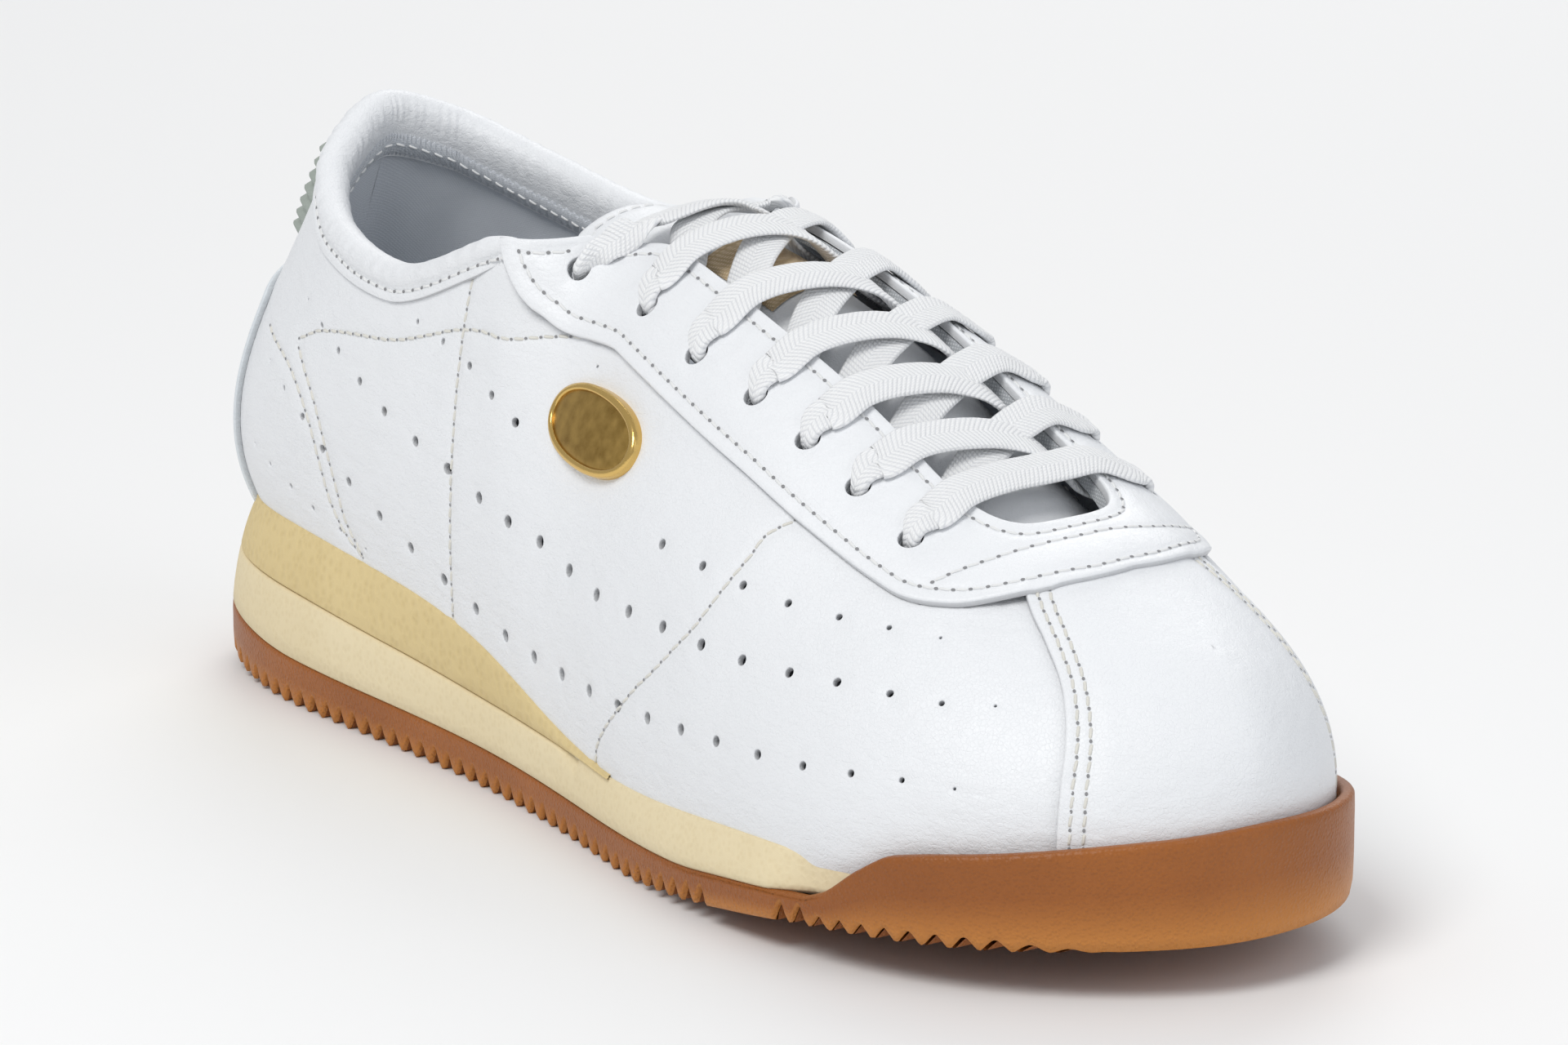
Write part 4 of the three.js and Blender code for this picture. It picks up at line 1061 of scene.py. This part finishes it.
def tongue_layer(name, top, base, trim, material, puff=0.0, seam=None, round_edge=0.5):
    """A layer of the tongue with rounded sides: top face, turned edge and underside in one grid."""
    nx, ny = 150, 60
    u = np.linspace(0, 1, nx)
    x = -TONGUE_BACK + trim + (TONGUE_LONG - 2 * trim) * u
    half = tongue_width(x, trim)
    v = np.linspace(-1, 1, ny)
    edge = np.minimum(1 - np.abs(v)[None, :], 1) * half[:, None]
    xx = np.broadcast_to(x[:, None], (nx, ny))
    yy = v[None, :] * half[:, None]
    rim = np.minimum(edge, np.minimum((xx - x[0]) + 0.02, 30))
    rounding = np.clip(rim / round_edge, 0, 1)
    fall = (1 - np.sqrt(np.clip(1 - (1 - rounding) ** 2, 0, 1))) * (base - top) * 0.5
    lift = puff * np.clip(rim / 6, 0, 1) ** 0.7
    if seam is not None:
        lift = lift - 0.35 * np.exp(-((rim - seam) / 0.9) ** 2)
    wrinkle = 0.10 * np.sin(xx * 0.55 + 0.05 * yy * yy) * np.exp(-((xx - 20) / 40) ** 2)
    upper = tongue_at(xx, yy, top + fall - lift - wrinkle)
    lower = tongue_at(xx, yy, base - fall)
    points = np.concatenate([upper, lower[:, ::-1]], 1)
    verts = points.reshape(-1, 3)
    faces = grid_faces(nx, 2 * ny, close_v=True, flip=True)
    for i in (0, nx - 1):
        row = [i * 2 * ny + k for k in range(2 * ny)]
        for k in range(ny - 1):
            quad = [row[k], row[k + 1], row[2 * ny - 2 - k], row[2 * ny - 1 - k]]
            faces.append(quad if i else quad[::-1])
    return make(name, verts, faces, material, body="tongue")


def tongue():
    face = tongue_layer("tongue_face", 0.0, 1.1, 0.0, STAY, puff=0.9, seam=3.2)
    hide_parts("tongue_face")
    core = tongue_layer("tongue_foam", 1.15, 4.9, 0.5, OPEN_FOAM, round_edge=1.6)
    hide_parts("tongue_foam")
    under = tongue_layer("tongue_lining", 4.95, 5.7, 0.1, LINING)
    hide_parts("tongue_lining")
    x = np.concatenate([np.linspace(60, -34.4, 90), np.full(30, -35.2), np.linspace(-34.4, 60, 90)])
    half = tongue_width(x, 3.2)
    y = np.concatenate([-half[:90], np.linspace(-half[89], half[120], 30), half[120:]])
    line = tongue_at(x, y, np.full_like(x, -0.42))
    ns = unit(line - tongue_at(x, y, np.full_like(x, 1.0)))
    keep = resample(np.hstack([line, ns]), 0.7)
    thread("tongue_stitches", [(keep[:, :3], unit(keep[:, 3:]))], THREAD, body="tongue", pitch=2.6,
           length=2.0)
    x, y = np.meshgrid(np.linspace(-7, 12, 40), np.linspace(-8, 8, 34), indexing="ij")
    near = np.minimum(np.minimum(x + 7, 12 - x), 8 - np.abs(y))
    depth = -1.15 - 0.35 * np.clip(near / 0.5, 0, 1) ** 0.5 + 0.25 * np.exp(-((near - 1.6) / 0.4) ** 2)
    label = grid("tongue_patch", tongue_at(x, y, depth), LABEL, body="tongue", flip=False)
    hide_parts("tongue_patch")


# ---- lace ----
# Each place on the lace's route is (station, distance across the ridge, height, width, thickness).
FULL_STRIP = (LACE_WIDTH, LACE_THICK)
OVER = STAY_OUT + LACE_THICK / 2 + 0.15
UNDER = -2.9
TUCKED = -5.2                # where the lace's ends lie, inside the lining


def lace_crossing(side, row):
    """From the throat's edge at one row to the next row's eyelet nearer the ankle, on the other side."""
    to = -side
    a0, a1 = EYELETS[row][0], EYELETS[row - 1][0]
    lift = 1.5 if to < 0 else 0.0
    here, there = side * THROAT[side], to * THROAT[to]
    spots = [(0.18, here * 0.72, -1.9 + lift * 0.5), (0.34, here * 0.36, lift - 0.7), (0.50, 0, lift),
             (0.66, there * 0.45, lift * 0.4 + OVER * 0.55)]
    if row > 1:
        spots.append((0.84, there * 0.98, OVER + 0.25))
    return [(a0 + (a1 - a0) * share, b, out, *FULL_STRIP) for share, b, out in spots]


def through_eyelet(side, row):
    a, b = EYELETS[row]
    edge = THROAT[side]
    return [(a + 0.03, side * (b * 0.5 + edge * 0.5), OVER, *FULL_STRIP),
            (a + 0.01, side * (b - 0.046), OVER + 0.05, 6.6, LACE_THICK),
            (a, side * (b - 0.022), OVER + 0.05, 5.0, 1.5),
            (a, side * (b - 0.006), OVER - 0.9, 3.4, 2.0),
            (a, side * b, -0.6, 3.2, 2.2),
            (a, side * (b - 0.01), UNDER, 4.0, 1.6),
            (a, side * (b - 0.05), UNDER, 6.0, LACE_THICK),
            (a - 0.03, side * edge, UNDER - 0.1, *FULL_STRIP)]


def last_eyelet(side):
    a, b = EYELETS[0]
    return [(4.70, side * 0.100, OVER + 0.7, 6.6, LACE_THICK),
            (4.60, side * 0.122, OVER + 0.5, 5.6, LACE_THICK),
            (4.52, side * 0.134, OVER + 0.25, 4.4, 1.4),
            (4.475, side * 0.139, OVER - 0.7, 3.2, 2.0),
            (a, side * b, -0.6, 3.0, 2.2),
            (a + 0.01, side * 0.155, UNDER - 0.3, 3.2, 1.6),
            (4.52, side * 0.21, UNDER - 0.4, 4, 1.3),
            (4.58, side * 0.26, -4.2, 4, 1.3),
            (4.68, side * 0.34, TUCKED, 4, 1.3),
            (5.0, side * 0.42, TUCKED, 4, 1.3),
            (5.35, side * 0.47, TUCKED, 3.4, 1.5),
            (5.7, side * 0.5, TUCKED, 2.4, 2)]


def lace_chain(side):
    places = through_eyelet(side, len(EYELETS) - 1)
    for row in range(len(EYELETS) - 1, 0, -1):
        places += lace_crossing(side, row)
        side = -side
        places += through_eyelet(side, row - 1) if row > 1 else last_eyelet(side)
    return places


def lace_places():
    a = EYELETS[-1][0]
    spots = [(0.04, -THROAT[-1], OVER + 0.1), (0.07, -0.06, 1.4), (0.08, 0, 1.25), (0.07, 0.06, 1.4),
             (0.04, THROAT[1], OVER + 0.1)]
    bar = [(a + step, b, out, *FULL_STRIP) for step, b, out in spots]
    return lace_chain(-1)[::-1] + bar + lace_chain(1)


def on_instep(a, b, out):
    return skin(*unfold(a, b), out)


def lace():
    places = lace_places()

    def spot(a, b, out):
        if b == 0:
            return (on_instep(a, -1e-6, out) + on_instep(a, 1e-6, out)) / 2
        return on_instep(a, b, out)
    centre = np.array([spot(a, b, out) for a, b, out, _, _ in places])
    wide = unit(np.array([spot(a + 0.05, b, out) - spot(a - 0.05, b, out) for a, b, out, _, _ in places]))
    size = np.array([(w, t) for *_, w, t in places])
    data = np.hstack([centre, wide, size])
    knots = np.concatenate([[0], np.cumsum(np.linalg.norm(np.diff(centre, axis=0), axis=1) ** 0.5)])
    dense = catmull(knots, data, 9)
    p, w = dense[:, :3], dense[:, 3:6]
    along = unit(np.gradient(p, axis=0))
    across = unit(w - along * (w * along).sum(1, keepdims=True))
    up = np.cross(along, across)
    turn = np.linspace(0, 2 * np.pi, 25)[:-1]
    cx = np.sign(np.cos(turn)) * np.abs(np.cos(turn)) ** 0.55
    cy = np.sign(np.sin(turn)) * np.abs(np.sin(turn)) ** 0.8
    half_w, half_t = dense[:, 6] / 2, dense[:, 7] / 2
    walk = walked(p)
    ripple = 0.07 * np.sin(walk[:, None] * 2 * np.pi / 1.25 + np.abs(cx)[None, :] * 3)
    points = (p[:, None] + across[:, None] * (half_w[:, None] * cx[None])[..., None]
              + up[:, None] * ((half_t[:, None] + ripple * 0.6) * cy[None])[..., None])
    uv = np.stack([np.broadcast_to(walk[:, None], points.shape[:2]), half_w[:, None] * cx[None]], -1)
    obj = grid("lace", points, LACE, close_v=True, flip=True, uv=uv.reshape(-1, 2))
    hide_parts("lace")
    return walk[-1]


def catmull(knots, data, count):
    """Curve through data rows at uneven knots (non-uniform Catmull-Rom)."""
    slope = np.gradient(data, knots, axis=0)
    rows = []
    for i in range(len(knots) - 1):
        run = knots[i + 1] - knots[i]
        u = np.linspace(0, 1, count + 1)[:-1, None]
        rows.append(hermite(data[i], data[i + 1], slope[i] * run, slope[i + 1] * run, u))
    rows.append(data[-1:])
    return np.vstack(rows)


# ---- heel tab and badge ----
def heel_tab():
    """Rubber grip tab with ridges like a row of small pyramids."""
    ridges, wide = 7, 44
    v = np.linspace(0, 1, ridges * 10 + 1)
    u = np.linspace(-1, 1, wide)
    phase = (v * ridges) % 1
    crown = 1 - np.abs(2 * phase - 1)
    crown = np.clip(crown * 1.15 - 0.06, 0, 0.94)
    taper = 1 - 0.10 * (2 * v - 1) ** 2
    end = np.clip((1 - np.abs(u)) / 0.16, 0, 1) ** 0.7
    s = u[None, :] * 0.56 * taper[:, None]
    h = 0.655 + 0.25 * v[:, None] + 0 * s
    tall = (1.2 + 2.0 * end[None, :] + 2.1 * crown[:, None] * end[None, :])
    points = skin(s, h, tall)
    skirt = [skin(s[:1], h[:1] - 0.004, 0.2), skin(s[-1:], h[-1:] + 0.004, 0.2)]
    points = np.concatenate([skirt[0], points, skirt[1]], 0)
    sides = [np.concatenate([q[:1], q, q[-1:]])[:, [0, -1]] for q in (s, h)]
    base = skin(*sides, 0.1)
    points = np.concatenate([base[:, :1], points, base[:, 1:]], 1)
    obj = grid("heel_tab", points, TAB, flip=True)
    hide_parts("heel_tab")


BADGE = {"s": 4.92, "h": 0.515, "long": 13.4, "high": 6.9, "tilt": -14, "lift": 0.8}


def badge_frame():
    """Centre of the badge on the leather, its normal, and its long and short directions."""
    s, h = BADGE["s"], BADGE["h"]
    centre, n = last(s, h), normal(s, h)
    long = last(s + 0.1, h) - last(s - 0.1, h)
    long = unit(long - n * (long @ n))
    short = np.cross(n, long)
    tilt = math.radians(BADGE["tilt"])
    cos, sin = math.cos(tilt), math.sin(tilt)
    return centre, n, long * cos + short * sin, short * cos - long * sin


def on_badge(p, q, out):
    centre, n, long, short = badge_frame()
    bend = 0.002 * p ** 2 + 0.003 * q ** 2
    return centre + p[..., None] * long + q[..., None] * short + n * (out - bend)[..., None]


def badge():
    """Blank oval plaque with a bright bevelled rim."""
    turn = np.linspace(0, 2 * np.pi, 97)[:-1]
    power = 0.92
    cx = np.sign(np.cos(turn)) * np.abs(np.cos(turn)) ** power * BADGE["long"]
    cy = np.sign(np.sin(turn)) * np.abs(np.sin(turn)) ** power * BADGE["high"]

    def rings(sections):
        """Rings from the edge inwards: (inset in mm, share of the way in after that, height)."""
        shape = []
        for inset, share, z in sections:
            x = cx * (1 - inset / BADGE["long"]) * (1 - share)
            y = cy * (1 - inset / BADGE["high"]) * (1 - share)
            shape.append(on_badge(x, y, np.full(len(turn), BADGE["lift"] + z)))
        return np.stack(shape)
    rim = rings([(0, 0, -1.6), (0, 0, 0.7), (0.12, 0, 1.0), (0.4, 0, 1.2), (0.8, 0, 1.3), (1.1, 0, 1.26),
                 (1.3, 0, 1.1), (1.35, 0, 0.8)])
    edge = grid("badge_rim", rim, BADGE_EDGE, close_v=True, flip=True)
    face = rings([(1.35, 0, 0.8), (1.75, 0, 0.92), (1.75, 0.15, 1.0), (1.75, 0.4, 1.1), (1.75, 0.7, 1.15),
                  (1.75, 0.999, 1.16)])
    plate = grid("badge_face", face, BADGE_FACE, close_v=True, flip=True)
    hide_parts("badge")
    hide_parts("badge")


# ---- sole ----
def tooth(x):
    """Depth of the saw-toothed tread at x."""
    phase = (np.asarray(x) / TOOTH_PITCH) % 1
    cut = np.clip((1 - np.abs(2 * phase - 1)) * 1.35 - 0.12, 0, 1)
    deep = np.where(x > 80, TOOTH_DEPTH * 0.62, TOOTH_DEPTH)
    deep = deep * np.clip((124 - x) / 14, 0, 1) * np.clip((130 + x) / 10, 0, 1)
    return np.where((x > SMOOTH_STRETCH[0]) & (x < SMOOTH_STRETCH[1]), 0, cut * deep)


def wall_top(s):
    """Height of the gum's top edge, raised where the toe bumper stands."""
    gum = gum_top_z(outline(s)[:, 0])
    start, end = BUMPER_TOP[0][0], BUMPER_TOP[-1][0]
    lifted = bumper_top(np.clip(s, start, end))
    return np.where((s > start) & (s < end), np.maximum(lifted, gum), gum)


def ring_stations(step):
    """Stations at even steps round the sole's outline."""
    s = np.linspace(0, STATIONS, 4001)[:-1]
    p = outline(s)
    lengths = walked(np.vstack([p, p[:1]]))
    at = np.linspace(0, lengths[-1], int(lengths[-1] / step) + 1)[:-1]
    return np.interp(at, lengths, np.append(s, STATIONS))


def outsole():
    """Gum outsole: side band with the toe bumper, and the ribbed tread."""
    s = ring_stations(0.55)
    p, n = outline(s), outward(outline, s)
    top = wall_top(s)
    x = p[:, 0]
    bottom = tread_z(x) + tooth(x)
    base = tread_z(x)
    tall = top - base
    rows = []
    rows.append((-1.1, bottom))
    rows.append((-0.45, bottom + 0.12))
    for share, bulge in ((0.12, -0.12), (0.25, -0.05), (0.4, 0.0), (0.55, 0.0), (0.7, 0.0)):
        rows.append((bulge, np.maximum(base + share * tall, bottom + 0.3 + share)))
    rows.append((0.02, base + 0.80 * tall))
    rows.append((-0.02, base + 0.90 * tall))
    for deg in (20, 45, 70, 90):
        a = math.radians(deg)
        rows.append((-0.9 * (1 - math.cos(a)), top - 0.9 * (1 - math.sin(a))))
    rows.append((-1.6, top))
    for deg in (20, 50, 90):
        a = math.radians(deg)
        rows.append((-1.6 - 0.7 * math.sin(a), top - 0.7 * (1 - math.cos(a))))
    rows.append((-2.4, top - 3.0))
    points = np.stack([np.column_stack([(p + n * d if np.ndim(d) == 0 else p + n * d[:, None])[:, :2], z])
                       for d, z in rows], 1)
    # The bottom rows and teeth are painted lighter, a painted highlight that lifts them out of their shade.
    wear_and_painted_light = np.zeros(points.shape[:2])
    wear_and_painted_light[:, :5] = (1.0, 1.0, 0.8, 0.5, 0.2)
    side = grid("outsole", points, GUM, close_u=True, flip=True, layers={"rim": wear_and_painted_light.ravel()})
    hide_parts("outsole")
    tips = [outline(np.linspace(*span, 60))[:, 0] for span in ((9.0, 10.4), (-0.9, 0.9))]
    xs = np.unique(np.concatenate([np.arange(-131, 131.5, TOOTH_PITCH / 12), *tips]))
    inner = p + n * -1.08
    far = inner[:, 0].min() + 0.05, inner[:, 0].max() - 0.05
    xs = xs[(xs > far[0]) & (xs < far[1])]
    order = np.roll(inner, -np.argmin(inner[:, 0]), axis=0)
    peak = np.argmax(order[:, 0])
    y0 = np.interp(xs, order[:peak + 1, 0], order[:peak + 1, 1])
    y1 = np.interp(xs, order[peak:, 0][::-1], order[peak:, 1][::-1])
    v = np.linspace(0, 1, 25)
    yy = y0[:, None] + (y1 - y0)[:, None] * v[None, :]
    zz = (tread_z(xs) + tooth(xs))[:, None] + 0 * yy
    xx = np.broadcast_to(xs[:, None], yy.shape)
    tread = grid("outsole_tread", np.stack([xx, yy, zz], -1), GUM, flip=True)
    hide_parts("outsole")


def midsole():
    s = ring_stations(1.1)
    p, n = outline(s), outward(outline, s)
    x = p[:, 0]
    low, high = gum_top_z(x) + 0.05, foam_top_z(x)
    reach = np.minimum(s, STATIONS - s)
    front = np.clip((reach - 6.7) / 0.25, 0, 1)
    pull = (-2.6 * front)[:, None]
    foot = feather(s)
    lean = p + (foot - p) * FOAM_LEAN * (1, 1, 0)
    rows = []

    def row(t, extra, z):
        q = p + (lean - p) * t + n * (extra + pull)
        rows.append(np.column_stack([q[:, :2], z]))
    tall = high - low
    row(0.0, -0.9, low - 0.4)
    row(0.0, -0.35, low + 0.05)
    row(0.05, 0.0, low + 0.35)
    row(0.3, 0.12, low + tall * 0.3)
    row(0.6, 0.12, low + tall * 0.6)
    row(0.9, 0.0, high - 0.9)
    row(1.0, -0.35, high - 0.3)
    rise = 0.042 * np.exp(-((reach - 6.6) / 0.9) ** 2) - 0.004
    edge = lip(s, rise, np.where(reach > 4.9, 0.5 - 0.9 * front, -2.5))
    straight = np.clip((reach - 4.7) / 0.4, 0, 1)[:, None]
    for k, share in ((5, 0.35), (6, 0.70)):
        rows[k] = rows[k] + straight * (rows[4] + (edge[0] - rows[4]) * share - rows[k])
    hidden = 1 - np.clip((reach - 4.5) / 0.3, 0, 1)[:, None]
    for k, deep in enumerate((1.2, 2.4, 4.0)):
        under = lean + n * (-deep)
        under[:, 2] = high - 0.3
        edge[k] = edge[k] + hidden * (under - edge[k])
    rows += edge
    obj = grid("midsole", np.stack(rows, 1), CREAM, close_u=True, flip=True)
    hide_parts("midsole")


def lip(s, rise, out):
    """Thin foam edge that stands against the leather up to h = rise."""
    out = np.broadcast_to(out, s.shape)
    return [skin(s, rise - 0.006, out), skin(s, rise, out - 0.25), skin(s, rise, out - 2.0)]


def heel_wedge():
    s = np.linspace(-5.25, 5.25, 420)
    p = outline(s) + (feather(s) - outline(s)) * FOAM_LEAN * (1, 1, 0)
    x = outline(s)[:, 0]
    foot = feather(s)
    low, high = foam_top_z(x) + 0.02, np.maximum(feather_z(foot[:, 0]) + 0.1, foam_top_z(x) + 0.05)
    tall = high - low
    n = outward(outline, s)
    rows = []
    for t, extra, z in ((0, -0.7, low - 0.3), (0, -0.2, low + 0.1),
                        (0.06, 0.05, low + 0.4 * np.clip(tall, 0, 1))):
        q = p + (foot - p) * t * (1, 1, 0) + n * extra
        rows.append(np.column_stack([q[:, :2], z]))
    rise = 0.062 * np.exp(-((np.abs(s) - 3.75) / 0.85) ** 2) + 0.004
    edge = lip(s, rise, 0.55)
    foot_row = rows[-1]
    for share in (0.25, 0.5, 0.75):
        rows.append(foot_row + (edge[0] - foot_row) * share + n * share * (1 - share))
    rows += edge
    obj = grid("heel_wedge", np.stack(rows, 1), BEIGE, flip=True)
    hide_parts("heel_wedge")


def sockliner():
    """Padded insole, dished to the foot."""
    s = ring_stations(1.4)
    ring = feather(s) + outward(feather, s) * -4.2
    middle = np.column_stack([np.clip(ring[:, 0], -100, 102), 0.35 * ring[:, 1] + 1.5, ring[:, 2]])
    rows = []
    for t, z in ((0, 0.1), (-0.004, 1.0), (0.0, 2.6), (0.012, 3.6), (0.035, 4.1), (0.08, 4.2), (0.18, 3.8),
                 (0.35, 3.3), (0.6, 3.1), (0.8, 3.1)):
        q = ring + (middle - ring) * t
        rows.append(np.column_stack([q[:, :2], feather_z(q[:, 0]) + SOCK_REST + z]))
    count = len(s)
    points = np.stack(rows, 1)
    verts = points.reshape(-1, 3)
    faces = grid_faces(count, len(rows), close_u=True, flip=True)
    half = count // 2
    last_row = [i * len(rows) + len(rows) - 1 for i in range(count)]
    for i in range(half - 1):
        quad = [last_row[i], last_row[i + 1], last_row[(count - i - 1) % count],
                last_row[(count - i) % count]]
        if len(set(quad)) == 4:
            faces.append(quad[::-1])
    obj = make("sockliner", verts, faces, SOCK, body="sockliner")
    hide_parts("sockliner")


# ---- stage ----
def stage():
    bpy.ops.mesh.primitive_plane_add(size=14, location=(0, 0, 0))
    floor = bpy.context.object
    floor.name = "floor"
    floor.data.materials.append(plain("floor", (0.90, 0.90, 0.90), 0.6, Specular_IOR_Level=0.2))
    world = bpy.data.worlds.new("studio")
    bpy.context.scene.world = world
    world.use_nodes = True
    world.node_tree.nodes["Background"].inputs[0].default_value = (0.95, 0.97, 1.0, 1)
    world.node_tree.nodes["Background"].inputs[1].default_value = 0.52
    bpy.context.scene.view_settings.view_transform = "Standard"
    for name, place, size, power, tint in (
            ("key", (0.35, -0.9, 1.35), 0.8, 12.5, (1.0, 0.985, 0.96)),
            ("fill", (1.4, 0.5, 0.8), 1.2, 3.6, (0.95, 0.97, 1.0)),
            ("back", (-0.9, 0.9, 1.0), 1.0, 6, (1.0, 0.99, 0.97))):
        light = bpy.data.lights.new(name, "AREA")
        light.shape = "DISK"
        light.size = size
        light.energy = power
        light.color = tint
        lamp = bpy.data.objects.new(name, light)
        lamp.location = place
        lamp.rotation_euler = (Vector((0, 0, 0.04)) - Vector(place)).to_track_quat("-Z", "Y").to_euler()
        bpy.context.collection.objects.link(lamp)


def camera():
    """The photograph's viewing angle: 54 degrees round from the outer side, 15 degrees up."""
    azimuth, elevation, distance = math.radians(54.08), math.radians(15.0), 1378.5
    target = (np.array([4.99, 4.32, 47.39]) + SHIFT) / 1000
    back = np.array([math.sin(azimuth) * math.cos(elevation), -math.cos(azimuth) * math.cos(elevation),
                     math.sin(elevation)])
    eye = target + back * distance / 1000
    data = bpy.data.cameras.new("camera")
    data.sensor_width = 36
    data.lens = 192.2
    data.clip_start = 0.05
    obj = bpy.data.objects.new("camera", data)
    obj.location = eye
    obj.rotation_euler = Vector(target - eye).to_track_quat("-Z", "Y").to_euler()
    bpy.context.collection.objects.link(obj)
    bpy.context.scene.camera = obj


def finish_hidden():
    """Plain finish for the CAD nodes that stay hidden inside the shoe."""
    for name in ("lasting_board", "heel_counter", "toe_puff", "badge_washer_rear", "badge_washer_front"):
        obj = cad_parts[name]
        obj.data.materials.clear()
        obj.data.materials.append(INNER)


def vamp_lining():
    s = np.linspace(8.6, 11.4, 90)
    h = np.linspace(-0.01, 0.985, 40)
    ss, hh = np.meshgrid(s, h, indexing="ij")
    obj = grid("vamp_lining", skin(ss, hh, np.full(ss.shape, LINING_OUT)), LINING, flip=True)
    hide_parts("vamp_lining")


def aglets():
    for side, name in ((-1, "aglet_lateral"), (1, "aglet_medial")):
        start, end = on_instep(5.70, side * 0.500, TUCKED), on_instep(6.4, side * 0.54, TUCKED)
        axis = unit(end - start)
        across = unit(np.cross(axis, (0, 0, 1.0)))
        up = np.cross(axis, across)
        turn = np.linspace(0, 2 * np.pi, 21)[:-1]
        rings = []
        for t, r in ((0.0, 1.15), (0.02, 1.3), (0.93, 1.3), (0.98, 1.05), (1.0, 0.5)):
            c = start + (end - start) * t
            rings.append(c + r * (np.cos(turn)[:, None] * across + np.sin(turn)[:, None] * up))
        obj = grid(name, np.stack(rings), FILM, close_v=True)
        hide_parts(name)


def build():
    collect_seams()
    quarter(-1, "quarter_lateral")
    quarter(1, "quarter_medial")
    toe_cap()
    eyestay()
    facing()
    backstay()
    upper_threads()
    collar()
    binding()
    lining(-1, "lining_lateral")
    lining(1, "lining_medial")
    vamp_lining()
    tongue()
    length = lace()
    aglets()
    heel_tab()
    badge()
    outsole()
    midsole()
    heel_wedge()
    sockliner()
    finish_hidden()
    print("lace length mm", round(float(length), 1))


build()
stage()
camera()
